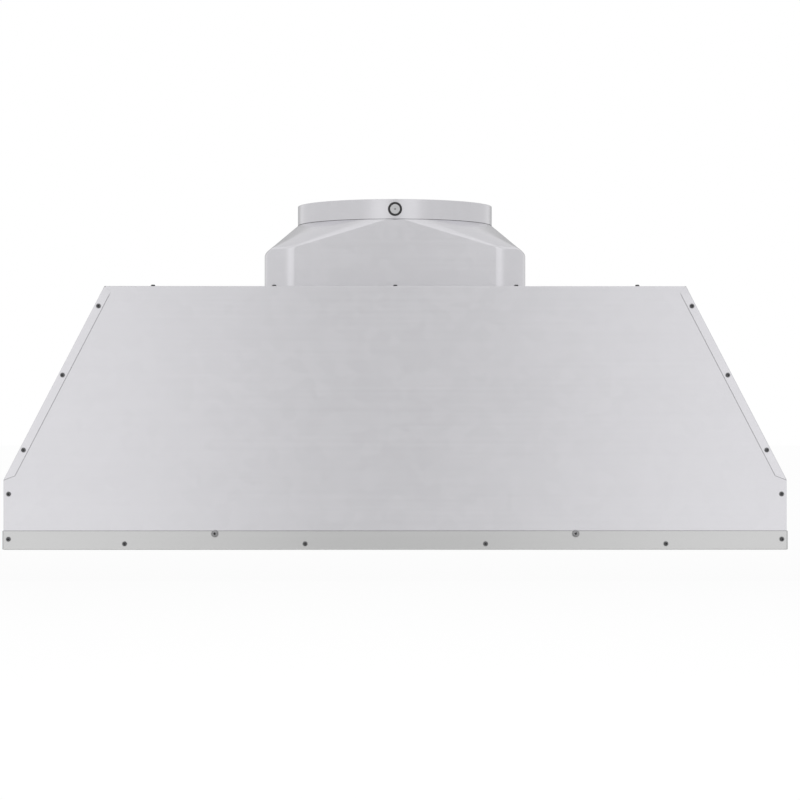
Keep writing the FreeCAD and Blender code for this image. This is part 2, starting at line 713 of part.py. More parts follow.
def switch_block():
    shape = block(*switch_spans((panel_top, panel_top + SWITCH_HEIGHT)))
    well = FIT_GAP + BUTTON_FLANGE + BUTTON_STEM + 2 * BUTTON_TRAVEL - SHEET
    tools = []
    for x in button_xs():
        start = vec(x, lamp_y, panel_top - CUT_MARGIN)
        tools.append(rod(start, Z_AXIS, BUTTON_FLANGE_DIAMETER + BUTTON_SLOT_GAP, well + CUT_MARGIN))
    return without(shape, tools)


def scroll_face(inset, top):
    """Side outline of the scroll, moved inwards, with its outlet running up to the top."""
    wall_y = SCROLL_START * math.cos(scroll_tongue) + inset
    first = math.acos(wall_y / (SCROLL_START - inset))
    sweep = 2 * math.pi - first
    points = []
    for step in range(SCROLL_STEPS + 1):
        share = step / SCROLL_STEPS
        turn = first + sweep * share
        radius = SCROLL_START + SCROLL_GROWTH * share - inset
        points.append(vec(0, BLOWER_Y + radius * math.cos(turn), blower_z + radius * math.sin(turn)))
    spiral = Part.BSplineCurve()
    spiral.interpolate(points)
    outer_head = vec(0, points[-1].y, top)
    inner_head = vec(0, points[0].y, top)
    edges = [spiral.toShape(), Part.makeLine(points[-1], outer_head)]
    edges += [Part.makeLine(outer_head, inner_head), Part.makeLine(inner_head, points[0])]
    return Part.Face(Part.Wire(edges))


def extruded_x(face, x_span):
    face.translate(vec(x_span[0], 0, 0))
    return face.extrude(vec(x_span[1] - x_span[0], 0, 0))


def right_scroll():
    shell = extruded_x(scroll_face(0, plate_under), (SCROLL_INNER_X, scroll_outer_x))
    flange_x = (SCROLL_INNER_X - SCROLL_FLANGE, scroll_outer_x + SCROLL_FLANGE)
    flange_y = (outlet_y_low - SCROLL_FLANGE, outlet_y_high + SCROLL_FLANGE)
    shell = shell.fuse(block(flange_x, flange_y, (plate_under - SCROLL_SHEET, plate_under)))
    room_x = (SCROLL_INNER_X + SCROLL_SHEET, scroll_outer_x - SCROLL_SHEET)
    room = extruded_x(scroll_face(SCROLL_SHEET, plate_under + CUT_MARGIN), room_x)
    through = SCROLL_SHEET + 2 * CUT_MARGIN
    inlet = rod(vec(room_x[1] - CUT_MARGIN, BLOWER_Y, blower_z), X_AXIS, INLET_DIAMETER, through)
    shaft_x = SCROLL_INNER_X - CUT_MARGIN
    shaft = rod(vec(shaft_x, BLOWER_Y, blower_z), X_AXIS, SHAFT_HOLE_DIAMETER, through)
    return without(shell, [room, inlet, shaft] + small_holes(scroll_sites()))


def right_inlet_ring():
    radius = INLET_DIAMETER / 2 - FIT_GAP
    face = scroll_outer_x
    outline = [(face, radius), (face, radius + INLET_FLANGE), (face + SHEET, radius + INLET_FLANGE)]
    outline += [(face + SHEET, radius - SHEET), (face - INLET_THROAT, radius - SHEET - INLET_TAPER)]
    outline.append((face - INLET_THROAT, radius - INLET_TAPER))
    points = [vec(x, BLOWER_Y + r, blower_z) for x, r in outline]
    profile = Part.Face(Part.makePolygon(points + [points[0]]))
    return profile.revolve(vec(0, BLOWER_Y, blower_z), X_AXIS, 360)


def right_impeller():
    axis_point = vec(impeller_back, BLOWER_Y, blower_z)
    disc = rod(axis_point, X_AXIS, IMPELLER_DIAMETER, IMPELLER_SHEET)
    hub = rod(axis_point, X_AXIS, HUB_DIAMETER, HUB_LENGTH)
    ring_point = vec(impeller_front - IMPELLER_SHEET, BLOWER_Y, blower_z)
    ring_bore = IMPELLER_DIAMETER - 2 * IMPELLER_RING
    ring = tube(ring_point, X_AXIS, IMPELLER_DIAMETER, ring_bore, IMPELLER_SHEET)
    middle = (IMPELLER_DIAMETER - IMPELLER_RING) / 2
    reach = IMPELLER_RING * BLADE_REACH_SHARE / math.cos(math.radians(BLADE_LEAN_DEG))
    blade_x = (impeller_back + IMPELLER_SHEET / 2, impeller_front - IMPELLER_SHEET / 2)
    blades = []
    for step in range(BLADE_COUNT):
        blade = block(blade_x, both(reach), both(BLADE_SHEET / 2))
        blade.rotate(ORIGIN, X_AXIS, BLADE_LEAN_DEG)
        blade.translate(vec(0, BLOWER_Y + middle, blower_z))
        blade.rotate(axis_point, X_AXIS, 360 * step / BLADE_COUNT)
        blades.append(blade)
    bore = rod(vec(0, BLOWER_Y, blower_z), X_AXIS, SHAFT_DIAMETER + 2 * RUN_GAP, scroll_outer_x)
    return joined([disc, hub, ring] + blades).cut(bore)


def motor_casing():
    bore = MOTOR_DIAMETER - 2 * MOTOR_WALL
    centre = vec(0, BLOWER_Y, blower_z)
    half = rod(centre, X_AXIS, MOTOR_DIAMETER, motor_half)
    half = half.cut(rod(centre, X_AXIS, bore, motor_half - MOTOR_END))
    bosses = []
    seat = vec(motor_half, BLOWER_Y, blower_z + MOTOR_BOSS_CIRCLE / 2)
    for step in range(MOTOR_BOSS_COUNT):
        boss = rod(seat, X_AXIS, MOTOR_BOSS_DIAMETER, MOTOR_BOSS_LENGTH)
        boss.rotate(centre, X_AXIS, 360 * step / MOTOR_BOSS_COUNT)
        bosses.append(boss)
    half = joined([half] + bosses).cut(rod(centre, X_AXIS, BEARING_DIAMETER + 2 * RUN_GAP, motor_half))
    other = flipped_x(half)
    gland_root = vec(motor_half / 2, BLOWER_Y + MOTOR_DIAMETER / 2 - MOTOR_WALL, blower_z)
    gland = rod(gland_root, Y_AXIS, GLAND_DIAMETER, GLAND_LENGTH + MOTOR_WALL)
    gland = gland.cut(rod(centre, X_AXIS, MOTOR_DIAMETER - MOTOR_WALL, motor_half))
    return Part.makeCompound([half.fuse(gland).removeSplitter(), other])


def motor_bearings():
    bearings = []
    for start in (-motor_half, motor_half - MOTOR_END):
        point = vec(start, BLOWER_Y, blower_z)
        bearings.append(tube(point, X_AXIS, BEARING_DIAMETER, SHAFT_DIAMETER + 2 * RUN_GAP, MOTOR_END))
    return Part.makeCompound(bearings)


def motor_stator():
    start = vec(-STATOR_LENGTH / 2, BLOWER_Y, blower_z)
    outer = MOTOR_DIAMETER - 2 * MOTOR_WALL - 2 * RUN_GAP
    return tube(start, X_AXIS, outer, STATOR_BORE, STATOR_LENGTH)


def motor_rotor():
    start = vec(-STATOR_LENGTH / 2, BLOWER_Y, blower_z)
    return tube(start, X_AXIS, STATOR_BORE - 2 * AIR_GAP, SHAFT_DIAMETER + 2 * RUN_GAP, STATOR_LENGTH)


def motor_shaft():
    half = impeller_back + HUB_LENGTH
    return rod(vec(-half, BLOWER_Y, blower_z), X_AXIS, SHAFT_DIAMETER, 2 * half)


def box_spans(inset):
    x_span = (BOX_X - BOX_WIDTH / 2 + inset, BOX_X + BOX_WIDTH / 2 - inset)
    return x_span, (box_y - BOX_DEPTH / 2 + inset, box_y + BOX_DEPTH / 2 - inset)


def junction_box():
    low = plate_under - BOX_HEIGHT
    walls = block(*box_spans(0), (low, plate_under))
    flange_x = (BOX_X - BOX_WIDTH / 2 - BOX_FLANGE, BOX_X + BOX_WIDTH / 2 + BOX_FLANGE)
    walls = walls.fuse(block(flange_x, box_spans(0)[1], (plate_under - BOX_SHEET, plate_under)))
    room = block(*box_spans(BOX_SHEET), (low - CUT_MARGIN, plate_under + CUT_MARGIN))
    tools = [room] + small_holes(box_sites())
    middle = vec(BOX_X, box_y, plate_under - BOX_HEIGHT / 2)
    tools.append(rod(middle, -X_AXIS, CABLE_HOLE, BOX_WIDTH))
    tools.append(rod(middle, -Y_AXIS, CABLE_HOLE, BOX_DEPTH))
    return without(walls, tools)


def junction_box_cover():
    low = plate_under - BOX_HEIGHT
    cover = block(*box_spans(0), (low - BOX_SHEET, low))
    lip_z = (low, low + BOX_COVER_LIP)
    lip = block(*box_spans(BOX_SHEET + FIT_GAP), lip_z)
    lip = lip.cut(block(*box_spans(2 * BOX_SHEET + FIT_GAP), lip_z))
    return joined([cover, lip])


def capacitor():
    foot = vec(-BOX_X, box_y, plate_under - CAPACITOR_LENGTH)
    can = rod(foot, Z_AXIS, CAPACITOR_DIAMETER, CAPACITOR_LENGTH)
    stud_length = 2 * SHEET + CAPACITOR_NUT_HEIGHT
    return can.fuse(rod(vec(-BOX_X, box_y, plate_under), Z_AXIS, CAPACITOR_STUD, stud_length))


def capacitor_nut():
    corners = []
    for step in range(6):
        turn = math.radians(60 * step)
        reach = CAPACITOR_NUT / math.sqrt(3)
        corners.append((reach * math.cos(turn) - BOX_X, reach * math.sin(turn) + box_y))
    nut = prism_along_z(corners, (plate_top, plate_top + CAPACITOR_NUT_HEIGHT))
    return nut.cut(rod(vec(-BOX_X, box_y, plate_under), Z_AXIS, CAPACITOR_STUD + FIT_GAP, BOX_HEIGHT))


def rounded_prism(half_x, half_y, corner, z_span):
    shape = block(both(half_x), both(half_y), z_span)
    uprights = [edge for edge in shape.Edges if edge.BoundBox.ZLength > (z_span[1] - z_span[0]) / 2]
    return shape.makeFillet(corner, uprights)


def arc_at(centre, radius, start_deg, z):
    points = []
    for turn in (start_deg, start_deg + 45, start_deg + 90):
        angle = math.radians(turn)
        points.append(vec(centre[0] + radius * math.cos(angle), centre[1] + radius * math.sin(angle), z))
    return Part.Arc(*points).toShape()


def outlet_loft(half_x, half_y, corner, z_span, radius):
    """Square-to-round solid: four flat triangles and four ruled corners."""
    signs = ((1, 1), (-1, 1), (-1, -1), (1, -1))
    base = []
    rim = []
    for quarter, (sign_x, sign_y) in enumerate(signs):
        centre = (sign_x * (half_x - corner), sign_y * (half_y - corner))
        base.append(arc_at(centre, corner, 90 * quarter, z_span[0]))
        rim.append(arc_at((0, 0), radius, 90 * quarter, z_span[1]))
    faces = [Part.makeRuledSurface(low, high) for low, high in zip(base, rim)]
    floor = []
    for quarter in range(4):
        left = base[quarter].Vertexes[-1].Point
        right = base[(quarter + 1) % 4].Vertexes[0].Point
        tip = rim[quarter].Vertexes[-1].Point
        faces.append(Part.Face(Part.makePolygon([left, right, tip, left])))
        floor += [base[quarter], Part.makeLine(left, right)]
    faces.append(Part.Face(Part.Wire(floor)))
    faces.append(Part.Face(Part.Wire(rim)))
    skin = Part.makeCompound(faces)
    skin.sewShape()
    solid = Part.Solid(skin.Shells[0])
    if solid.Volume < 0:
        solid.reverse()
    return solid


def duct_transition():
    wall_z = BODY_HEIGHT + OUTLET_WALL
    half_x = OUTLET_WIDTH / 2
    outer = rounded_prism(half_x, collar_radius, OUTLET_CORNER, (plate_top, wall_z))
    loft = outlet_loft(half_x, collar_radius, OUTLET_CORNER, (wall_z, collar_seat), collar_radius)
    neck_top = axle_z - FLAP_SHEET / 2 - FLAP_REST_GAP
    neck = rod(vec(0, 0, collar_seat), Z_AXIS, 2 * neck_radius, neck_top - collar_seat)
    flange_x = half_x + OUTLET_FLANGE
    flange = block(both(flange_x), both(collar_radius + OUTLET_FLANGE), (plate_top, BODY_HEIGHT))
    outside = outer.multiFuse([loft, neck, flange])
    corner = OUTLET_CORNER - SHEET
    room = rounded_prism(half_x - SHEET, collar_radius - SHEET, corner, (plate_top, wall_z))
    cone = outlet_loft(half_x - SHEET, collar_radius - SHEET, corner, (wall_z, collar_seat), neck_bore)
    bore = rod(vec(0, 0, collar_seat), Z_AXIS, 2 * neck_bore, COLLAR_HEIGHT)
    relief = rod(vec(0, -collar_radius, axle_z), Y_AXIS, bush_room, COLLAR_DIAMETER)
    shape = outside.cut(room).cut(cone).cut(bore).cut(relief)
    return without(shape, small_holes(outlet_sites()))


def duct_collar():
    collar = tube(vec(0, 0, collar_seat), Z_AXIS, COLLAR_DIAMETER, 2 * collar_bore, COLLAR_HEIGHT)
    drill = vec(0, -COLLAR_DIAMETER, axle_z)
    return collar.cut(rod(drill, Y_AXIS, BUSH_DIAMETER + FIT_GAP, 2 * COLLAR_DIAMETER))


def front_bush():
    bore = AXLE_END_DIAMETER + 2 * RUN_GAP
    face_y = collar_radius + BUSH_PROUD
    sleeve = rod(vec(0, -face_y, axle_z), Y_AXIS, BUSH_DIAMETER, face_y - bush_inside)
    flange = rod(vec(0, -bush_face, axle_z), Y_AXIS, BUSH_FLANGE_DIAMETER, BUSH_FLANGE)
    return joined([sleeve, flange]).cut(rod(vec(0, -2 * face_y, axle_z), Y_AXIS, bore, 2 * face_y))


def damper_axle():
    face_y = collar_radius + BUSH_PROUD
    bar = rod(vec(0, -face_y, axle_z), Y_AXIS, AXLE_DIAMETER, 2 * face_y)
    end = rod(vec(0, -face_y, axle_z), Y_AXIS, AXLE_END_DIAMETER, face_y - bush_inside)
    axle = joined([bar, end, flipped_y(end)])
    dimple = rod(vec(0, -face_y, axle_z), Y_AXIS, AXLE_DIMPLE, AXLE_DIMPLE / 2)
    return without(axle, [dimple, flipped_y(dimple)])


def damper_flap(side):
    """Half-disc flap on its side of the axle, with two rolled knuckles."""
    radius = collar_bore - FLAP_EDGE_GAP
    plate_z = axle_z - FLAP_SHEET / 2
    disc = rod(vec(0, 0, plate_z), Z_AXIS, 2 * radius, FLAP_SHEET)
    plate = disc.common(block((FLAP_ROOT, radius), both(radius), (plate_z, plate_z + FLAP_SHEET)))
    knuckle = AXLE_DIAMETER + 2 * RUN_GAP + 2 * KNUCKLE_WALL
    parts = [plate]
    for step in KNUCKLE_STEPS:
        y = side * step * KNUCKLE_PITCH - KNUCKLE_LENGTH / 2
        parts.append(rod(vec(0, y, axle_z), Y_AXIS, knuckle, KNUCKLE_LENGTH))
        web_x = (AXLE_DIAMETER / 2, FLAP_ROOT + FLAP_SHEET)
        parts.append(block(web_x, (y, y + KNUCKLE_LENGTH), (plate_z, plate_z + FLAP_SHEET)))
    bore = rod(vec(0, -radius, axle_z), Y_AXIS, AXLE_DIAMETER + 2 * RUN_GAP, 2 * radius)
    flap = joined(parts).cut(bore)
    room_y = bush_inside - FLAP_EDGE_GAP
    room = rod(vec(0, room_y, axle_z), Y_AXIS, bush_room, radius)
    flap = without(flap, [room, flipped_y(room)])
    return flap if side > 0 else flipped_x(flap)


def shell_nodes():
    front = front_panel()
    right = right_side_panel()
    front_rim, right_rim = rim_channels()
    nodes = {"front_panel": front, "rear_panel": flipped_y(front)}
    nodes.update({"right_side_panel": right, "left_side_panel": flipped_x(right)})
    nodes["top_plate"] = top_plate()
    nodes.update({"front_rim": front_rim, "rear_rim": flipped_y(front_rim)})
    nodes.update({"right_rim": right_rim, "left_rim": flipped_x(right_rim)})
    return nodes


def duct_nodes():
    bush = front_bush()
    nodes = {"duct_transition": duct_transition(), "duct_collar": duct_collar()}
    nodes.update({"damper_axle": damper_axle(), "damper_bushes": Part.makeCompound([bush, flipped_y(bush)])})
    nodes.update({"left_damper_flap": damper_flap(-1), "right_damper_flap": damper_flap(1)})
    return nodes


def underside_nodes():
    nodes = {"lamp_panel": lamp_panel(), "rear_rail": rear_rail()}
    nodes.update({"filter_hinge_rod": hinge_rod(), "filter_catches": filter_catches()})
    for name, centre in zip(FILTER_NAMES, filter_centres()):
        nodes[name + "_filter_frame"] = filter_frame(centre)
        nodes[name + "_filter_baffles"] = filter_baffles(centre)
        nodes[name + "_filter_handle"] = filter_handle(centre)
    for name, x in zip(("left", "right"), both(LAMP_OFFSET)):
        bezel, lens, body = lamp(x)
        nodes.update({name + "_lamp_bezel": bezel, name + "_lamp_lens": lens, name + "_lamp_body": body})
    nodes.update({"switch_bezel": switch_bezel(), "switch_block": switch_block()})
    for number, x in enumerate(button_xs(), 1):
        nodes["button_%d" % number] = button(x)
    return nodes


def blower_nodes():
    scroll = right_scroll()
    ring = right_inlet_ring()
    impeller = right_impeller()
    nodes = {"right_scroll": scroll, "left_scroll": flipped_x(scroll)}
    nodes["inlet_rings"] = Part.makeCompound([ring, flipped_x(ring)])
    nodes.update({"right_impeller": impeller, "left_impeller": flipped_x(impeller)})
    nodes.update({"motor_casing": motor_casing(), "motor_bearings": motor_bearings()})
    nodes.update({"motor_stator": motor_stator(), "motor_rotor": motor_rotor()})
    nodes["motor_shaft"] = motor_shaft()
    return nodes


def electric_nodes():
    nodes = {"junction_box": junction_box(), "junction_box_cover": junction_box_cover()}
    nodes["capacitor"] = capacitor()
    return nodes


def fastener_nodes():
    small = front_small_sites()
    small += mirrored_sites(small)
    rails = rail_sites()
    rails += mirrored_sites(rails)
    top = front_top_sites() + mirrored_sites(front_top_sites()) + outlet_sites() + box_sites()
    right_side = [small_screw(site) for site in side_top_sites() + scroll_sites()]
    top_screws = [small_screw(site) for site in top] + right_side
    top_screws += [flipped_x(shape) for shape in right_side] + [capacitor_nut()]
    nodes = {"panel_screws": Part.makeCompound([small_screw(site) for site in small])}
    nodes["rail_screws"] = Part.makeCompound([rail_screw(site) for site in rails])
    nodes["top_screws"] = Part.makeCompound(top_screws)
    return nodes


def main():
    os.makedirs("parts", exist_ok=True)
    for group in (shell_nodes, duct_nodes, underside_nodes, blower_nodes, electric_nodes, fastener_nodes):
        for name, shape in group().items():
            shape.exportStep("parts/%s.step" % name)


main()
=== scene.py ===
import json
import logging
import math
from collections.abc import Callable, Iterator, Mapping, Sequence
from contextlib import contextmanager
from dataclasses import dataclass, field, replace
from enum import Enum
from functools import reduce

import bmesh
import bpy
from mathutils import Matrix, Vector

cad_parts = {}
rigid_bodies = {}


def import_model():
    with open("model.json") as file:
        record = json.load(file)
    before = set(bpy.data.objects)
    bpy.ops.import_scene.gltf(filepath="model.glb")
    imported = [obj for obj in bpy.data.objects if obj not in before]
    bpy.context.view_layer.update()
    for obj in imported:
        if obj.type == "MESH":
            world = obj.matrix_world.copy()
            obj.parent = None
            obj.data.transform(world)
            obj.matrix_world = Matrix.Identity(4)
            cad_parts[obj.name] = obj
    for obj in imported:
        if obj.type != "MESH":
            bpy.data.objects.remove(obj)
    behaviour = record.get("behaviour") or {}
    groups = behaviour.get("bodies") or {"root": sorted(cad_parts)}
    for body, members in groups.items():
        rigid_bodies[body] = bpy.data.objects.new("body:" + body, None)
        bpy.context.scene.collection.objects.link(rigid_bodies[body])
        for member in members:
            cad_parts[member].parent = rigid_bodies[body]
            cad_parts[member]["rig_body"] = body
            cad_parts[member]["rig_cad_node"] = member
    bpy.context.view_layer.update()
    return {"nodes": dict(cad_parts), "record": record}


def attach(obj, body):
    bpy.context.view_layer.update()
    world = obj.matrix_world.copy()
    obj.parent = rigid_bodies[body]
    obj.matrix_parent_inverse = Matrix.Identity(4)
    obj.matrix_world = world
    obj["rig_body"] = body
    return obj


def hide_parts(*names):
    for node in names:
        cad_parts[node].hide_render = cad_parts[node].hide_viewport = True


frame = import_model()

LOG = logging.getLogger("hood_liner")

Span = tuple[float, float]
Triple = tuple[float, float, float]
Socket = bpy.types.NodeSocket
Value = Socket | float | Sequence[float]
Inputs = Mapping[str | int, Value]
Material = bpy.types.Material
Mesh = bmesh.types.BMesh
Piece = bpy.types.Object
Test = Callable[[Vector, Vector], bool]

ORIGIN: Triple = (0.0, 0.0, 0.0)
WHITE: Triple = (1.0, 1.0, 1.0)
QUARTER = math.pi / 2
SIDES = (-1.0, 1.0)
WELD = 0.00001
TOUCH = 0.0001
FACING = 0.5
FLAT_DEG = 0.3
SMOOTH_DEG = 32.0
UNIT: Span = (0.0, 1.0)
EASING = ("LINEAR", "SMOOTHSTEP")
NOISE_SPAN: Span = (0.3, 0.7)
EDGE_SPAN: Span = (0.75, 0.985)
EDGE_SAMPLES = 4
CREASE_SPAN: Span = (0.4, 0.92)
CREASE_SAMPLES = 6
BAND_LENGTH = math.pi / 10.0
# Painted shade: the share by which ambient occlusion darkens a colour in creases, seams and gaps between
# parts
CREASE_SHADE_DARKENING = -0.85
CAMERA_RAY = "Is Camera Ray"
SEEN_RAYS = ("Is Glossy Ray", "Is Transmission Ray")


class Axis(Enum):
    """Axis of the shared frame, along which a sheet is rolled or a shade fades."""

    X = 0
    Y = 1
    Z = 2

    def scales(self, along: float, across: float) -> list[float]:
        """Pattern scales per metre, stretched along this axis."""
        return [along if number == self.value else across for number in range(3)]


class NodeSketch:
    """A node tree, with shorthand for the nodes that the finishes and the studio share."""

    def __init__(self, tree: bpy.types.NodeTree) -> None:
        """Take up a tree."""
        self.tree = tree

    def fill(self, node: bpy.types.Node, inputs: Inputs) -> None:
        """Link sockets to a node's inputs, or set constants on them.

        Args:
            node: The node.
            inputs: Sockets, numbers, vectors and colours, by the name or the number of the input.
        """
        for key, value in inputs.items():
            target = node.inputs[key]
            if isinstance(value, Socket):
                self.tree.links.new(value, target)
            else:
                target.default_value = (*value, 1.0) if target.type == "RGBA" else value

    def node(self, kind: str, inputs: Inputs, **settings: object) -> bpy.types.Node:
        """Add a node.

        Args:
            kind: Type of the node without its prefix.
            inputs: What its inputs get.
            settings: Its plain settings.

        Returns:
            The node.
        """
        node = self.tree.nodes.new("ShaderNode" + kind)
        for name, value in settings.items():
            setattr(node, name, value)
        self.fill(node, inputs)
        return node

    def maths(self, operation: str, *values: Value) -> Socket:
        """Result of a sum on up to three values."""
        return self.node("Math", dict(enumerate(values)), operation=operation).outputs[0]

    def spread(self, value: Socket, low: float, high: float, span: Span = NOISE_SPAN,
               soft: bool = False) -> Socket:
        """Map a value from a span to another one, clamped; a soft one eases in and out."""
        inputs = {"Value": value, "From Min": span[0], "From Max": span[1], "To Min": low, "To Max": high}
        return self.node("MapRange", inputs, interpolation_type=EASING[soft]).outputs["Result"]

    def mix(self, share: Socket, first: Socket, second: Socket) -> Socket:
        """Two shaders, mixed by the share of the second."""
        return self.node("MixShader", {0: share, 1: first, 2: second}).outputs[0]

    def seen_directly(self) -> Socket:
        """A value that is 1 for camera, glossy and transmission rays."""
        path = self.node("LightPath", {}).outputs
        return reduce(lambda so_far, ray: self.maths("MAXIMUM", so_far, path[ray]),
                      SEEN_RAYS, path[CAMERA_RAY])


class MaterialSketch(NodeSketch):
    """A new node material with its shader and object coordinates."""

    def __init__(self, name: str) -> None:
        """Start a material.

        Args:
            name: Name of the material.
        """
        self.material = bpy.data.materials.new(name)
        self.material.use_nodes = True
        super().__init__(self.material.node_tree)
        self.shader = self.tree.nodes["Principled BSDF"]
        self.place = self.node("TexCoord", {}).outputs["Object"]

    def show(self, shader: Socket) -> None:
        """Put another shader in place of the material's own."""
        self.tree.nodes.remove(self.shader)
        self.fill(self.tree.nodes["Material Output"], {"Surface": shader})

    def mapped(self, scales: Sequence[float], turn: float = 0.0) -> Socket:
        """Object coordinates, scaled per metre and turned about Z."""
        inputs = {"Vector": self.place, "Scale": scales, "Rotation": (0.0, 0.0, turn)}
        return self.node("Mapping", inputs).outputs["Vector"]

    def noise(self, scales: Sequence[float], detail: float, turn: float = 0.0) -> Socket:
        """Soft noise of that scale and detail, mostly between 0.3 and 0.7."""
        inputs = {"Vector": self.mapped(scales, turn), "Scale": 1.0, "Detail": detail}
        return self.node("TexNoise", inputs).outputs[0]

    def flakes(self, scale: float) -> Socket:
        """One random value for each crystal cell of that scale."""
        cells = self.node("TexVoronoi", {"Vector": self.mapped((scale,) * 3), "Scale": 1.0})
        return self.node("SeparateColor", {0: cells.outputs["Color"]}).outputs[0]

    def stripes(self, axis: Axis, pitch: float) -> Socket:
        """Fine bands across an axis, as in a stack of laminations."""
        inputs = {"Vector": self.mapped((BAND_LENGTH / pitch,) * 3), "Scale": 1.0}
        return self.node("TexWave", inputs, bands_direction=axis.name).outputs[1]

    def total(self, parts: Sequence[tuple[Socket, float]]) -> Socket:
        """Sum of values, each times its weight."""
        return reduce(lambda so_far, part: self.maths("MULTIPLY_ADD", *part, so_far), parts, 0.0)

    def blend(self, share: Socket, first: Socket | Triple, second: Socket | Triple) -> Socket:
        """Two colours, mixed by the share of the second; 6, 7 and 2 are the node's colour sockets."""
        return self.node("Mix", {0: share, 6: first, 7: second}, data_type="RGBA").outputs[2]

    def edges(self, radius: float) -> Socket:
        """A value that is 1 at edges sharper than that radius and 0 on flat ground."""
        sources = (self.node("Bevel", {"Radius": radius}, samples=EDGE_SAMPLES), self.node("NewGeometry", {}))
        return self.spread(self.alike(*(source.outputs["Normal"] for source in sources)), 1.0, 0.0, EDGE_SPAN)

    def alike(self, first: Socket, second: Socket) -> Socket:
        """A value that is 1 where two directions are the same."""
        return self.node("VectorMath", {0: first, 1: second}, operation="DOT_PRODUCT").outputs["Value"]

    def creases(self, reach: float) -> Socket:
        """A value that is 1 in creases tighter than that reach and 0 on open ground, from ambient occlusion;
        it masks the painted crease shade.
        """
        openness = self.node("AmbientOcclusion", {"Distance": reach}, samples=CREASE_SAMPLES).outputs["AO"]
        return self.spread(openness, 1.0, 0.0, CREASE_SPAN)

    def attribute(self, name: str) -> Socket:
        """A number stored on the mesh."""
        return self.node("Attribute", {}, attribute_name=name).outputs["Fac"]


@dataclass(frozen=True)
class Finish:
    """A surface with a mottled colour, fine grit, worn edges, and painted shade darkening its creases."""

    name: str
    colour: Triple
    roughness: float
    metallic: float = 0.0
    mottle: float = 0.06
    mottle_scale: float = 45.0
    grit: float = 0.00002
    grit_scale: float = 1400.0
    grit_detail: float = 3.0
    wear: float = 0.3
    wear_colour: Triple = (0.55, 0.55, 0.56)
    wear_radius: float = 0.0005
    # Painted shade: how strongly creases are darkened, and the reach of the ambient occlusion that finds them
    crease_shade: float = 0.5
    crease_shade_reach: float = 0.0014
    rough_range: float = 0.12
    layers: tuple[Triple, ...] = ((1.0, 4.0, 0.6), (6.0, 2.0, 0.4))

    def cut(self, grain: Axis, tint: float) -> "Finish":
        """This finish on a piece of that grain and tint, which only sheets have."""
        return self

    def shade(self, share: float) -> Triple:
        """The colour made lighter or darker by a share of itself."""
        return tuple(min(1.0, part * (1.0 + share)) for part in self.colour)

    def tone(self, sketch: MaterialSketch) -> Socket:
        """The value that drives colour and roughness, from layers of a scale, a detail and a weight."""
        return sketch.total([(sketch.noise((self.mottle_scale * scale,) * 3, detail), weight)
                             for scale, detail, weight in self.layers])

    def relief(self, sketch: MaterialSketch) -> Socket:
        """The height map of the surface."""
        return sketch.noise((self.grit_scale,) * 3, self.grit_detail)

    def marks(self, sketch: MaterialSketch, ground: Socket) -> Socket:
        """Add to the colour what only this kind of finish has."""
        return ground

    def extras(self) -> Inputs:
        """Shader inputs that only this kind of finish has."""
        return {}

    def build(self) -> Material:
        """Make the material.

        Returns:
            The new material.
        """
        sketch = MaterialSketch(self.name)
        tone = self.tone(sketch)
        ground = sketch.blend(sketch.spread(tone, *UNIT), self.shade(-self.mottle), self.shade(self.mottle))
        worn = sketch.spread(sketch.edges(self.wear_radius), 0.0, self.wear, UNIT)
        # Painted shade: ambient occlusion darkens the colour in creases, seams and gaps between parts
        crease_shade_mask = sketch.spread(sketch.creases(self.crease_shade_reach), 0.0, self.crease_shade, UNIT)
        surface = self.marks(sketch, sketch.blend(worn, ground, self.wear_colour))
        low, high = (self.roughness * (1.0 + side * self.rough_range) for side in SIDES)
        bump = sketch.node("Bump", {"Strength": 1.0, "Distance": self.grit, "Height": self.relief(sketch)})
        sketch.fill(sketch.shader, {
            "Metallic": self.metallic,
            "Base Color": sketch.blend(crease_shade_mask, surface, self.shade(CREASE_SHADE_DARKENING)),
            "Roughness": sketch.spread(tone, low, high),
            "Normal": bump.outputs["Normal"],
            **self.extras(),
        })
        return sketch.material


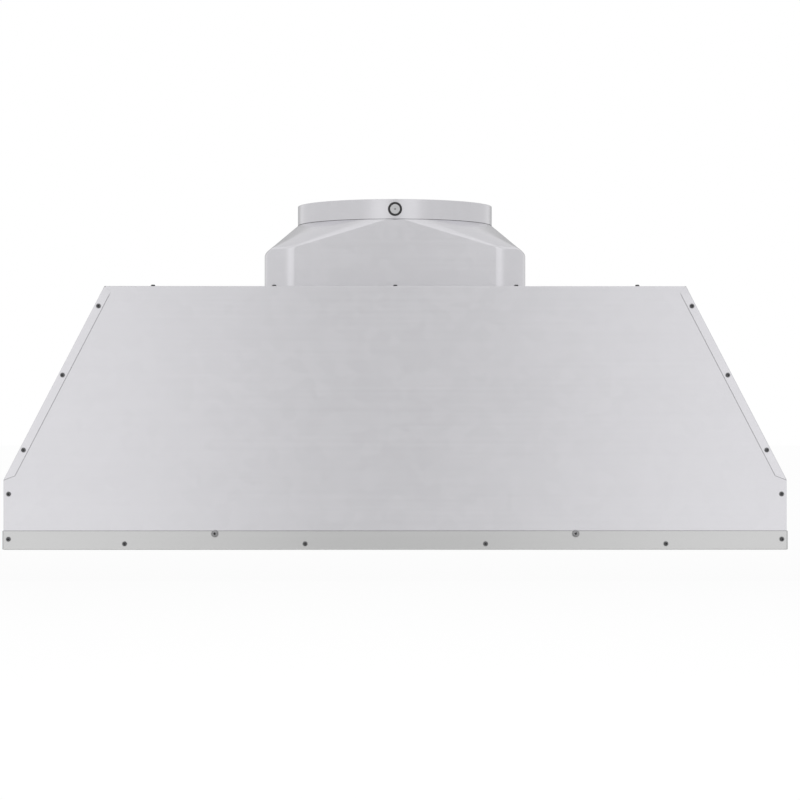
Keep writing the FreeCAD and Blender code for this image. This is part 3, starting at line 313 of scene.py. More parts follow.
@dataclass(frozen=True)
class SheetFinish(Finish):
    """Rolled sheet metal: fine grain along one axis, soft clouds, faint crystal flakes."""

    metallic: float = 1.0
    grain: Axis = Axis.X
    flake: float = 0.0
    flake_scale: float = 70.0
    mottle: float = 0.022
    rough_range: float = 0.05
    # Painted shade: sheets get dark lines in their seams and creases
    crease_shade: float = 0.9
    wear: float = 0.25
    wear_colour: Triple = (0.78, 0.78, 0.79)
    grit: float = 0.000004
    grit_detail: float = 2.0
    fine_scales: Span = (4.0, 1100.0)
    broad_scales: Span = (1.1, 190.0)
    relief_scales: Span = (9.0, 1500.0)
    grain_detail: float = 2.0
    cloud_scale: float = 7.0
    cloud_detail: float = 3.0
    cloud_weight: float = 1.4
    scuff_scales: Triple = (3.0, 260.0, 260.0)
    scuff_detail: float = 1.0
    scuff_deg: float = 31.0
    scuff_weight: float = 0.6

    def cut(self, grain: Axis, tint: float) -> Finish:
        """This finish on a sheet of that grain, lighter or darker by a share: a sheet from another coil, or
        painted shade on the recessed lamp panel.
        """
        name = "%s_%s_%d" % (self.name, grain.name.lower(), round(100 * tint))
        return replace(self, name=name, grain=grain,
                       colour=tuple(part * (1.0 + tint) for part in self.colour))

    def tone(self, sketch: MaterialSketch) -> Socket:
        """Grain, clouds, scuffs and flakes, weighted to one value.

        Args:
            sketch: The material.

        Returns:
            The value.
        """
        fine, broad = (sketch.noise(self.grain.scales(*scales), self.grain_detail)
                       for scales in (self.fine_scales, self.broad_scales))
        cloud = sketch.noise((self.cloud_scale,) * 3, self.cloud_detail)
        scuff = sketch.noise(self.scuff_scales, self.scuff_detail, math.radians(self.scuff_deg))
        plain = (1.0 - self.flake) / 4.0
        return sketch.total([(fine, plain), (broad, plain), (cloud, plain * self.cloud_weight),
                             (scuff, plain * self.scuff_weight),
                             (sketch.flakes(self.flake_scale), self.flake)])

    def relief(self, sketch: MaterialSketch) -> Socket:
        """The grain as a height map."""
        return sketch.noise(self.grain.scales(*self.relief_scales), self.grit_detail)


@dataclass(frozen=True)
class LaminatedFinish(Finish):
    """A stack of thin iron sheets, seen as fine bands across its axis."""

    axis: Axis = Axis.X
    pitch: float = 0.001

    def relief(self, sketch: MaterialSketch) -> Socket:
        """The bands as a height map."""
        return sketch.stripes(self.axis, self.pitch)


@dataclass(frozen=True)
class ScrewFinish(Finish):
    """A coated or plated screw, with painted shade in its recess."""

    # Painted shade: the near-black colour that the recess faces take
    recess: Triple = (0.012, 0.012, 0.013)

    def marks(self, sketch: MaterialSketch, ground: Socket) -> Socket:
        """Paint shade into the recess: its marked faces take a near-black colour."""
        return sketch.blend(sketch.attribute("recess"), ground, self.recess)


@dataclass(frozen=True)
class LensFinish(Finish):
    """Frosted glass over a lamp."""

    clearness: float = 0.25
    bending: float = 1.49

    def extras(self) -> Inputs:
        """Let some light through the glass."""
        return {"Transmission Weight": self.clearness, "IOR": self.bending}


class Palette:
    """Every finish of the liner by its slot in the record, each made once."""

    def __init__(self) -> None:
        """Name the finishes; a sheet's grain and tint are chosen when it is used."""
        self.made: dict[Finish, Material] = {}
        self.finishes: dict[str, Finish] = {
            "galvanised": SheetFinish("Zinc_sheet", (0.742, 0.735, 0.764), 0.25, flake=0.16),
            "stainless": SheetFinish("Brushed_sheet", (0.645, 0.645, 0.645), 0.25),
            "filter_steel": SheetFinish("Filter_sheet", (0.56, 0.56, 0.56), 0.3),
            "handle_steel": Finish("Handle_wire", (0.62, 0.62, 0.63), 0.2, 1.0, 0.03,
                                   wear=0.0, grit=0.000003),
            "black_screw": ScrewFinish("Blackened_screw", (0.1, 0.1, 0.104), 0.42, 0.55, 0.25, 300.0,
                                       wear=0.35, wear_colour=(0.3, 0.3, 0.31), wear_radius=0.0003),
            "bright_screw": ScrewFinish("Plated_screw", (0.3, 0.3, 0.305), 0.34, 0.8, 0.2, 300.0,
                                        wear=0.6, wear_colour=(0.5, 0.5, 0.51), wear_radius=0.0004),
            "black_rubber": Finish("Bush_rubber", (0.022, 0.022, 0.023), 0.62, 0.0, 0.2, wear=0.0),
            "pin_steel": Finish("Turned_steel", (0.6, 0.6, 0.61), 0.32, 1.0, 0.05, wear=0.2, grit=0.000005),
            "chrome_trim": Finish("Bezel_plating", (0.72, 0.72, 0.73), 0.14, 1.0, 0.03,
                                  wear=0.0, grit=0.000002),
            "lamp_lens": LensFinish("Lamp_lens", (0.86, 0.86, 0.83), 0.38, 0.0, 0.03, wear=0.0),
            "lamp_aluminium": Finish("Cast_aluminium", (0.6, 0.6, 0.61), 0.5, 1.0, grit=0.00005),
            "button_face": Finish("Button_plating", (0.5, 0.5, 0.51), 0.22, 1.0, 0.03, grit=0.000002),
            "switch_plastic": Finish("Switch_moulding", (0.04, 0.04, 0.043), 0.5, 0.0, 0.15, wear=0.08),
            "blower_black": Finish("Blower_coating", (0.075, 0.075, 0.08), 0.42, 0.4, 0.15, wear=0.25),
            "motor_paint": Finish("Motor_paint", (0.13, 0.13, 0.138), 0.4, 0.0, 0.1, grit=0.00004, wear=0.2),
            "iron_core": LaminatedFinish("Core_iron", (0.26, 0.25, 0.24), 0.5, 0.9, 0.15, grit=0.0001),
            "capacitor_case": Finish("Capacitor_case", (0.7, 0.7, 0.68), 0.45, 0.0, 0.04, wear=0.0),
        }

    def material(self, slot: str, grain: Axis, tint: float) -> Material:
        """The material of a slot, made at its first use.

        Args:
            slot: Material slot of the record.
            grain: Direction of a sheet's grain.
            tint: Share by which a sheet is lighter or darker than most.

        Returns:
            The material.
        """
        finish = self.finishes[slot].cut(grain, tint)
        if finish not in self.made:
            self.made[finish] = finish.build()
        return self.made[finish]


PALETTE = Palette()
SLOT_OF = {part["node"]: part["material_slot"] for part in frame["record"]["subparts"]}
BODY_OF = {node: body for body, nodes in frame["record"]["behaviour"]["bodies"].items() for node in nodes}


def near(value: float, target: float) -> bool:
    """Whether a coordinate is at a target."""
    return abs(value - target) < TOUCH


def level(z: float) -> Test:
    """Test of an edge's two ends: whether it lies at that height."""
    return lambda first, second: near(first.z, z) and near(second.z, z)


def front_to_back(x: float, z: float) -> Test:
    """Test of an edge's two ends: whether both are that far from the middle plane and at that height."""
    return lambda *ends: all(near(abs(end.x), x) and near(end.z, z) for end in ends)


def facing(sign: float) -> Test:
    """Test of a face's centre and normal: whether it looks up, for a sign of 1, or down, for -1."""
    return lambda centre, normal: sign * normal.z > FACING


def pick(*pieces: Piece) -> None:
    """Select these objects alone; the first is the active one.

    Args:
        pieces: The objects.
    """
    bpy.ops.object.select_all(action="DESELECT")
    for piece in pieces:
        piece.select_set(True)
    bpy.context.view_layer.objects.active = pieces[0]


@contextmanager
def editing(piece: Piece) -> Iterator[None]:
    """Work on one object in edit mode, with nothing selected at the start.

    Args:
        piece: The object.
    """
    pick(piece)
    bpy.ops.object.mode_set(mode="EDIT")
    bpy.ops.mesh.select_mode(type="EDGE")
    bpy.ops.mesh.select_all(action="DESELECT")
    yield
    bpy.ops.object.mode_set(mode="OBJECT")


@contextmanager
def mesh_of(piece: Piece) -> Iterator[Mesh]:
    """The mesh of an object in edit mode, brought up to date afterwards."""
    yield bmesh.from_edit_mesh(piece.data)
    bmesh.update_edit_mesh(piece.data)


def select(piece: Piece, mode: str, find: Callable[[Mesh], list]) -> int:
    """Select some elements of a mesh and nothing else.

    Args:
        piece: Object in edit mode.
        mode: Kind of element, as the select mode names it.
        find: Gives the elements.

    Returns:
        How many were selected.
    """
    bpy.ops.mesh.select_mode(type=mode)
    bpy.ops.mesh.select_all(action="DESELECT")
    with mesh_of(piece) as mesh:
        found = find(mesh)
        for element in found:
            element.select_set(True)
    return len(found)


def select_edges(piece: Piece, wanted: Test) -> int:
    """Select the edges whose two ends pass a test, and count them."""
    return select(piece, "EDGE", lambda mesh: [edge for edge in mesh.edges
                                               if wanted(*(vert.co for vert in edge.verts))])


def select_faces(piece: Piece, wanted: Test) -> int:
    """Select the faces whose centre and normal pass a test, and count them."""
    return select(piece, "FACE", lambda mesh: [face for face in mesh.faces
                                               if wanted(face.calc_center_median(), face.normal)])


def round_edges(piece: Piece, wanted: Test, radius: float, segments: int) -> None:
    """Round the edges that pass a test to a bend of that radius and so many steps."""
    if select_edges(piece, wanted):
        bpy.ops.mesh.bevel(offset=radius, offset_type="OFFSET", segments=segments, profile=0.5,
                           affect="EDGES")


def rounding(wanted: Test, radius: float, segments: int) -> Callable[[Piece], None]:
    """A change of shape that rounds the edges that pass a test."""
    return lambda piece: round_edges(piece, wanted, radius, segments)


def extrude_selected(rise: float = 0.0) -> None:
    """Extrude what is selected and raise it."""
    bpy.ops.mesh.extrude_region_move(TRANSFORM_OT_translate={"value": (0.0, 0.0, rise)})


def raise_selected(rise: float) -> None:
    """Move what is selected along Z."""
    bpy.ops.transform.translate(value=(0.0, 0.0, rise))


def scale_selected(share: float, centre: Sequence[float]) -> None:
    """Scale what is selected in plan, about a point."""
    bpy.ops.transform.resize(value=(share, share, 1.0), center_override=centre)


def apply_modifier(piece: Piece, kind: str, **settings: object) -> None:
    """Add a modifier with these settings and apply it.

    Args:
        piece: Object to change.
        kind: Type of the modifier.
        settings: Values set on the modifier.
    """
    pick(piece)
    modifier = piece.modifiers.new(kind.lower(), kind)
    for name, value in settings.items():
        setattr(modifier, name, value)
    bpy.ops.object.modifier_apply(modifier=modifier.name)


def carve(piece: Piece, cutter: Piece) -> None:
    """Cut one object from another and delete the cutter."""
    apply_modifier(piece, "BOOLEAN", object=cutter, operation="DIFFERENCE", solver="EXACT")
    bpy.data.objects.remove(cutter)


def named(name: str) -> Piece:
    """Name the active object and put its place into its mesh.

    Args:
        name: Name of the piece.

    Returns:
        The object.
    """
    piece = bpy.context.object
    piece.name = name
    pick(piece)
    bpy.ops.object.transform_apply(location=True, rotation=True, scale=True)
    return piece


def cylinder(name: str, radius: float, depth: float, place: Triple, turns: int,
             tilt: Triple = ORIGIN) -> Piece:
    """A cylinder, about its middle, to start a piece or a cutter from."""
    bpy.ops.mesh.primitive_cylinder_add(vertices=turns, radius=radius, depth=depth,
                                        location=place, rotation=tilt)
    return named(name)


def smooth(piece: Piece) -> None:
    """Shade the curves smooth and the folds crisp; flat faces set the normals beside their bends.

    Args:
        piece: Object to shade.
    """
    pick(piece)
    bpy.ops.object.shade_smooth_by_angle(angle=math.radians(SMOOTH_DEG))
    apply_modifier(piece, "WEIGHTED_NORMAL", keep_sharp=True)


def own_copy(source: Piece, name: str) -> Piece:
    """A copy of an object with a mesh of its own.

    Args:
        source: What is copied.
        name: Name of the copy.

    Returns:
        The copy.
    """
    piece = source.copy()
    piece.data = source.data.copy()
    piece.name = name
    bpy.context.scene.collection.objects.link(piece)
    return piece


def merged_copy(node: str) -> Piece:
    """A copy of a CAD node as a closed mesh with whole flat faces, to be given its bends.

    Args:
        node: Name of the CAD node.

    Returns:
        The copy, which rides on nothing yet.
    """
    piece = own_copy(frame["nodes"][node], node + "_dressed")
    piece.parent = None
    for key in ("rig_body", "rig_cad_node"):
        del piece[key]
    piece.data.materials.clear()
    pick(piece)
    bpy.ops.mesh.customdata_custom_splitnormals_clear()
    with editing(piece):
        bpy.ops.mesh.select_all(action="SELECT")
        bpy.ops.mesh.remove_doubles(threshold=WELD)
        bpy.ops.mesh.dissolve_limited(angle_limit=math.radians(FLAT_DEG))
    return piece


def dress_piece(piece: Piece, node: str, grain: Axis = Axis.X, tint: float = 0.0) -> None:
    """Give a new piece its finish and its body, hide the CAD node that it stands for, and log the pair.

    Args:
        piece: The finished piece.
        node: CAD node that it replaces.
        grain: Direction of a sheet's grain.
        tint: Share by which the sheet is lighter or darker than most.
    """
    slot = SLOT_OF[node]
    piece.data.materials.clear()
    piece.data.materials.append(PALETTE.material(slot, grain, tint))
    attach(piece, BODY_OF[node])
    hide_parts(node)
    LOG.info("piece %s stands for %s", piece.name, node)


def dress_reshaped(node: str, reshape: Callable[[Piece], None], grain: Axis = Axis.X,
                   tint: float = 0.0) -> None:
    """Reshape a merged copy of a CAD node in edit mode and dress it in the node's place.

    Args:
        node: Name of the CAD node.
        reshape: Gives the copy its bends.
        grain: Direction of a sheet's grain.
        tint: Share by which the sheet is lighter or darker than most.
    """
    piece = merged_copy(node)
    with editing(piece):
        reshape(piece)
    smooth(piece)
    dress_piece(piece, node, grain, tint)


def dress_nodes(*nodes: str, grain: Axis = Axis.X, tint: float = 0.0) -> None:
    """Give carried-over CAD nodes their finish.

    Args:
        nodes: Names of the CAD nodes.
        grain: Direction of a sheet's grain.
        tint: Share by which the sheet is lighter or darker than most.
    """
    for node in nodes:
        mesh = frame["nodes"][node].data
        mesh.materials.clear()
        mesh.materials.append(PALETTE.material(SLOT_OF[node], grain, tint))
        LOG.info("node %s in %s", node, mesh.materials[0].name)


@dataclass
class BodyShell:
    """Folded panels, lapped seam strips, top plate and the four rim channels."""

    half_width: float = 0.4557
    half_depth: float = 0.3033
    half_top: float = 0.3384
    height: float = 0.3067
    upright: float = 0.0813
    sheet: float = 0.001
    fold: float = 0.0009
    top_fold_steps: int = 5
    side_fold_steps: int = 4
    long_edge: float = 0.03
    strip_end: float = 0.2945
    end_share: float = 0.08
    side_tint: float = 0.03
    rim_height: float = 0.024
    rim_drop: float = 0.0022
    rims: tuple[tuple[str, Axis], ...] = (("front_rim", Axis.X), ("rear_rim", Axis.X),
                                          ("left_rim", Axis.Y), ("right_rim", Axis.Y))

    def slope_x(self, z: float) -> float:
        """Half-width of the sloping side's face at a height."""
        share = (z - self.upright) / (self.height - self.upright)
        return self.half_width - share * (self.half_width - self.half_top)

    def on_top_fold(self, first: Vector, second: Vector) -> bool:
        """Whether an edge is the fold between an upright panel and its top flange."""
        return all(near(abs(p.y), self.half_depth) and near(p.z, self.height) for p in (first, second))

    def on_side_fold(self, first: Vector, second: Vector) -> bool:
        """Whether an edge is a side panel's knee or its top fold."""
        knee, head = front_to_back(self.half_width, self.upright), front_to_back(self.half_top, self.height)
        return (first - second).length > self.long_edge and (knee(first, second) or head(first, second))

    def on_strip_fold(self, first: Vector, second: Vector) -> bool:
        """Whether an edge is the fold between the sloping side and its seam strip."""
        front = self.half_depth + self.sheet
        return all(near(abs(p.y), front) and near(abs(p.x), self.slope_x(p.z)) for p in (first, second))

    def press_strip_ends(self, panel: Piece) -> None:
        """Press the upper ends of a side panel's seam strips down onto the panels that they lap.

        Args:
            panel: Side panel in edit mode.
        """
        bpy.ops.mesh.select_all(action="SELECT")
        bpy.ops.mesh.bisect(plane_co=(0.0, 0.0, self.strip_end), plane_no=(0.0, 0.0, 1.0))
        with mesh_of(panel) as mesh:
            for vert in mesh.verts:
                proud = abs(vert.co.y) - self.half_depth
                if vert.co.z > self.strip_end + TOUCH and proud > TOUCH:
                    vert.co.y = math.copysign(self.half_depth + proud * self.end_share, vert.co.y)

    def bend_side(self, panel: Piece) -> None:
        """Bend the folds of a side panel and lay its seam strips down.

        Args:
            panel: Side panel in edit mode.
        """
        round_edges(panel, self.on_side_fold, self.fold, self.side_fold_steps)
        round_edges(panel, self.on_strip_fold, self.fold, self.side_fold_steps)
        self.press_strip_ends(panel)

    def lower_rim(self, rim: Piece) -> None:
        """Set a rim channel's upper edge a little under the CAD's, where the photograph shows it."""
        select(rim, "VERT", lambda mesh: [v for v in mesh.verts if near(v.co.z, self.rim_height)])
        raise_selected(-self.rim_drop)

    def build(self) -> None:
        """Bend the panels' folds and dress the shell."""
        for node in ("front_panel", "rear_panel"):
            dress_reshaped(node, rounding(self.on_top_fold, self.fold, self.top_fold_steps))
        for node in ("left_side_panel", "right_side_panel"):
            dress_reshaped(node, self.bend_side, Axis.Y, self.side_tint)
        dress_nodes("top_plate")
        for node, grain in self.rims:
            dress_reshaped(node, self.lower_rim, grain)


@dataclass
class DuctOutlet:
    """Square-to-round outlet, collar, and the damper in it."""

    half_width: float = 0.1634
    radius: float = 0.125
    corner: float = 0.0385
    corner_steps: int = 20
    flat_steps: int = 8
    base: float = 0.3067
    crease: float = 0.3578
    front_crease: float = 0.3634
    front_start: float = 0.1
    front_span: float = 0.45
    wall_reach: float = 0.0048
    bend_reach: float = 0.0095
    tightness: float = 0.45
    bend_steps: int = 8
    flat_share_deg: float = 4.0
    slope_steps: int = 4
    seat: float = 0.3985
    side_seat: float = 0.1247
    front_seat: float = 0.1255
    lip: float = 0.0007
    neck_radius: float = 0.1231
    neck_top: float = 0.41005
    flange: float = 0.016
    flange_corner: float = 0.005
    sheet: float = 0.001
    axle_z: float = 0.41085
    bush_room: float = 0.0114
    notch_depth: float = 0.006
    notch_turns: int = 48
    collar_top: float = 0.4232
    collar_bore: float = 0.124
    collar_tint: float = -0.04
    hem: float = 0.00045
    hem_steps: int = 3
    centre_hole: float = 0.0026
    centre_depth: float = 0.0026
    centre_turns: int = 24

    @property
    def straight(self) -> Span:
        """Half-lengths of the outline's straight sides."""
        return self.half_width - self.corner, self.radius - self.corner

    def heart(self, foot: Vector) -> Vector:
        """Point that a foot point faces away from: its corner's centre, or straight behind it."""
        kept = [max(-limit, min(limit, part)) for limit, part in zip(self.straight, foot.xy)]
        return Vector((*kept, 0.0))

    def outward(self, foot: Vector) -> Vector:
        """Direction in plan in which a foot point faces."""
        return (foot - self.heart(foot)) / self.corner

    def turn(self, foot: Vector) -> float:
        """How far a foot point faces forwards or backwards, from 0 at the sides to 1."""
        facing_way = self.outward(foot)
        return math.atan2(abs(facing_way.y), abs(facing_way.x)) / QUARTER

    def ring_direction(self, foot: Vector) -> Vector:
        """Point in plan of the round end that a foot point runs up to, for a radius of 1.

        Args:
            foot: Point of the outline.

        Returns:
            The point; a straight side runs up to a short chord, and the corners fan out over the rest.
        """
        arc = math.radians(self.flat_share_deg)
        along = [part / limit for part, limit in zip(self.heart(foot).xy, self.straight)]
        facing_way = self.outward(foot)
        if near(facing_way.x, 0.0):
            return Vector((math.sin(arc) * along[0], math.cos(arc) * facing_way.y, 0.0))
        if near(facing_way.y, 0.0):
            return Vector((math.cos(arc) * facing_way.x, math.sin(arc) * along[1], 0.0))
        eased = 0.5 - math.sin(math.asin(1.0 - 2.0 * self.turn(foot)) / 3.0)
        angle = arc + eased * (QUARTER - 2 * arc)
        return Vector((math.copysign(math.cos(angle), foot.x), math.copysign(math.sin(angle), foot.y), 0.0))

    def seat_point(self, foot: Vector) -> Vector:
        """Point under the collar's edge that a foot point runs up to."""
        radius = self.side_seat + (self.front_seat - self.side_seat) * self.turn(foot)
        return self.ring_direction(foot) * radius + Vector((0.0, 0.0, self.seat))

    def frontness(self, foot: Vector) -> float:
        """How much of the front's high, tight crease a foot point has, eased from 0 at the sides to 1."""
        share = min(1.0, max(0.0, (self.turn(foot) - self.front_start) / self.front_span))
        return share * share * (3.0 - 2.0 * share)

    def crease_point(self, foot: Vector) -> Vector:
        """Where the wall above a foot point would meet the slope without a bend."""
        lift = (self.front_crease - self.crease) * self.frontness(foot)
        return Vector((foot.x, foot.y, self.crease + lift))

    def tightened(self, reach: float, foot: Vector) -> float:
        """A reach of the bend, as it is above a foot point."""
        return reach * (1.0 - self.tightness * self.frontness(foot))

    def slope_point(self, foot: Vector, share: float) -> Vector:
        """Point on the slope above a foot point.

        Args:
            foot: Point of the outline.
            share: 0 at the end of the bend, 1 at the lip under the collar.

        Returns:
            The point.
        """
        start = self.crease_point(foot)
        rise = self.seat_point(foot) - start
        bend = self.tightened(self.bend_reach, foot)
        reach = bend + (rise.length - self.lip - bend) * share
        return start + rise * (reach / rise.length)

    def bend_point(self, foot: Vector, share: float) -> Vector:
        """Point on the shoulder's bend above a foot point.

        Args:
            foot: Point of the outline.
            share: 0 at the wall, 1 at the slope.

        Returns:
            The point.
        """
        corner = self.crease_point(foot)
        wall = corner - Vector((0.0, 0.0, self.tightened(self.wall_reach, foot)))
        slope = self.slope_point(foot, 0.0)
        return wall * (1 - share) ** 2 + corner * 2 * share * (1 - share) + slope * share ** 2

    def neck_point(self, foot: Vector, z: float) -> Vector:
        """Point of the round neck above a foot point, at a height."""
        return self.ring_direction(foot).normalized() * self.neck_radius + Vector((0.0, 0.0, z))

    def flange_point(self, foot: Vector) -> Vector:
        """Point of the flange's edge that a foot point runs out to.

        Args:
            foot: Point of the outline.

        Returns:
            The point.
        """
        grow = self.corner + self.flange - self.flange_corner
        centre = [part * (1.0 + grow / limit) for part, limit in zip(self.heart(foot).xy, self.straight)]
        return Vector((*centre, self.base)) + self.outward(foot) * self.flange_corner

    def rows(self) -> Iterator[Callable[[Vector], Vector]]:
        """Rows of points above the outline, each as the function that gives a point for a foot point.

        Yields:
            The bend, the slope and the neck, from the wall upwards.
        """
        for step in range(self.bend_steps + 1):
            yield lambda foot, share=step / self.bend_steps: self.bend_point(foot, share)
        for step in range(1, self.slope_steps + 1):
            yield lambda foot, share=step / self.slope_steps: self.slope_point(foot, share)
        for height in (self.seat - self.lip / 4, self.neck_top):
            yield lambda foot, z=height: self.neck_point(foot, z)

    @staticmethod
    def extrude_loop(piece: Piece, place: Callable[[Vector], Vector]) -> None:
        """Extrude the selected loop and set its points from the foot points that they stand on.

        Args:
            piece: Object in edit mode.
            place: Gives a new point for a foot point.
        """
        bpy.ops.mesh.extrude_edges_indiv()
        with mesh_of(piece) as mesh:
            foot = mesh.verts.layers.float_vector["foot"]
            for vert in mesh.verts:
                if vert.select:
                    vert.co = place(vert[foot])

    def draw_outline(self, piece: Piece) -> None:
        """Shape a plane into the rounded outline and note each foot point on it.

        Args:
            piece: Plane in edit mode.
        """
        bpy.ops.mesh.select_mode(type="VERT")
        bpy.ops.mesh.select_all(action="SELECT")
        size = (2 * self.half_width, 2 * self.radius, 1.0)
        bpy.ops.transform.resize(value=size, center_override=ORIGIN)
        bpy.ops.mesh.bevel(offset=self.corner, segments=self.corner_steps, profile=0.5, affect="VERTICES")
        bpy.ops.mesh.select_all(action="SELECT")
        bpy.ops.mesh.delete(type="ONLY_FACE")
        select_edges(piece, lambda a, b: (a - b).length > self.corner)
        bpy.ops.mesh.subdivide(number_cuts=self.flat_steps - 1)
        with mesh_of(piece) as mesh:
            foot = mesh.verts.layers.float_vector.new("foot")
            for vert in mesh.verts:
                vert[foot] = vert.co
                vert.co.z = self.base

    def borders(self, mesh: Mesh) -> list[bmesh.types.BMEdge]:
        """Find the lines between the flat triangles and the corners.

        Args:
            mesh: The shell with its foot points.

        Returns:
            The edges.
        """
        foot = mesh.verts.layers.float_vector["foot"]
        found = []
        for edge in mesh.edges:
            first, second = edge.verts
            at_end = any(near(abs(part), limit) for part, limit in zip(first[foot].xy, self.straight))
            upright = (first[foot] - second[foot]).length < TOUCH
            if at_end and upright and max(first.co.z, second.co.z) < self.seat - self.lip / 8:
                found.append(edge)
        return found

    def model_transition(self) -> Piece:
        """Model the outlet from its rounded outline: flange, wall, bent shoulder, slope and neck.

        Returns:
            The finished shell.
        """
        bpy.ops.mesh.primitive_plane_add(size=1.0)
        piece = named("duct_transition_dressed")
        with editing(piece):
            self.draw_outline(piece)
            bpy.ops.mesh.select_mode(type="EDGE")
            bpy.ops.mesh.select_all(action="SELECT")
            for row in self.rows():
                self.extrude_loop(piece, row)
            select_edges(piece, level(self.base))
            self.extrude_loop(piece, self.flange_point)
            bpy.ops.mesh.select_all(action="SELECT")
            bpy.ops.mesh.normals_make_consistent(inside=False)
            select(piece, "EDGE", self.borders)
            bpy.ops.mesh.mark_sharp()
            if select_faces(piece, lambda c, n: near(c.y, -self.radius) and n.y > FACING):
                bpy.ops.mesh.select_all(action="SELECT")
                bpy.ops.mesh.flip_normals()
        apply_modifier(piece, "SOLIDIFY", thickness=self.sheet, offset=-1.0, use_even_offset=True)
        piece.data.attributes.remove(piece.data.attributes["foot"])
        return piece

    def notch_for_bushes(self, piece: Piece) -> None:
        """Cut the neck clear of the bushes' flanges, front and rear.

        Args:
            piece: The shell.
        """
        for side in SIDES:
            place = (0.0, side * self.neck_radius, self.axle_z)
            carve(piece, cylinder("bush_cutter", self.bush_room, self.notch_depth, place, self.notch_turns,
                                  (QUARTER, 0.0, 0.0)))

    def on_collar_rim(self, first: Vector, second: Vector) -> bool:
        """Whether an edge is part of the collar's upper or lower rim."""
        walls, rims = (self.radius, self.collar_bore), (self.seat, self.collar_top)
        return (all(any(near(p.xy.length, wall) for wall in walls) for p in (first, second))
                and any(level(rim)(first, second) for rim in rims))

    def centre_drill(self, axle: Piece) -> None:
        """Sink a small centre hole into both ends of the axle.

        Args:
            axle: Copy of the axle.
        """
        end = max(abs(vert.co.y) for vert in axle.data.vertices)
        for side in SIDES:
            bpy.ops.mesh.primitive_cone_add(vertices=self.centre_turns, radius1=self.centre_hole, radius2=0.0,
                                            depth=2 * self.centre_depth, rotation=(side * QUARTER, 0.0, 0.0),
                                            location=(0.0, side * end, self.axle_z))
            carve(axle, named("centre_cutter"))

    def build(self) -> None:
        """Model the outlet, round the collar's rims and dress the damper."""
        outlet = self.model_transition()
        self.notch_for_bushes(outlet)
        smooth(outlet)
        dress_piece(outlet, "duct_transition")
        hemmed = rounding(self.on_collar_rim, self.hem, self.hem_steps)
        dress_reshaped("duct_collar", hemmed, Axis.Z, self.collar_tint)
        dress_nodes("left_damper_flap", "right_damper_flap", grain=Axis.Y)
        axle = merged_copy("damper_axle")
        self.centre_drill(axle)
        smooth(axle)
        dress_piece(axle, "damper_axle")
        dress_nodes("damper_bushes")


@dataclass
class FilterBank:
    """Three baffle filters, the rail that they hang on and their catches."""

    fold: float = 0.0003
    fold_steps: int = 2
    long_edge: float = 0.05
    names: tuple[str, ...] = ("left", "middle", "right")

    def is_long(self, first: Vector, second: Vector) -> bool:
        """Whether an edge is long enough to be a fold or a cut of the sheet."""
        return (first - second).length > self.long_edge

    def build(self) -> None:
        """Round the folds of the frames and baffles, and dress the bank."""
        soften = rounding(self.is_long, self.fold, self.fold_steps)
        for name in self.names:
            for part in ("frame", "baffles"):
                dress_reshaped("%s_filter_%s" % (name, part), soften, Axis.Y)
            dress_nodes(name + "_filter_handle")
        dress_nodes("rear_rail", "filter_hinge_rod", "filter_catches")


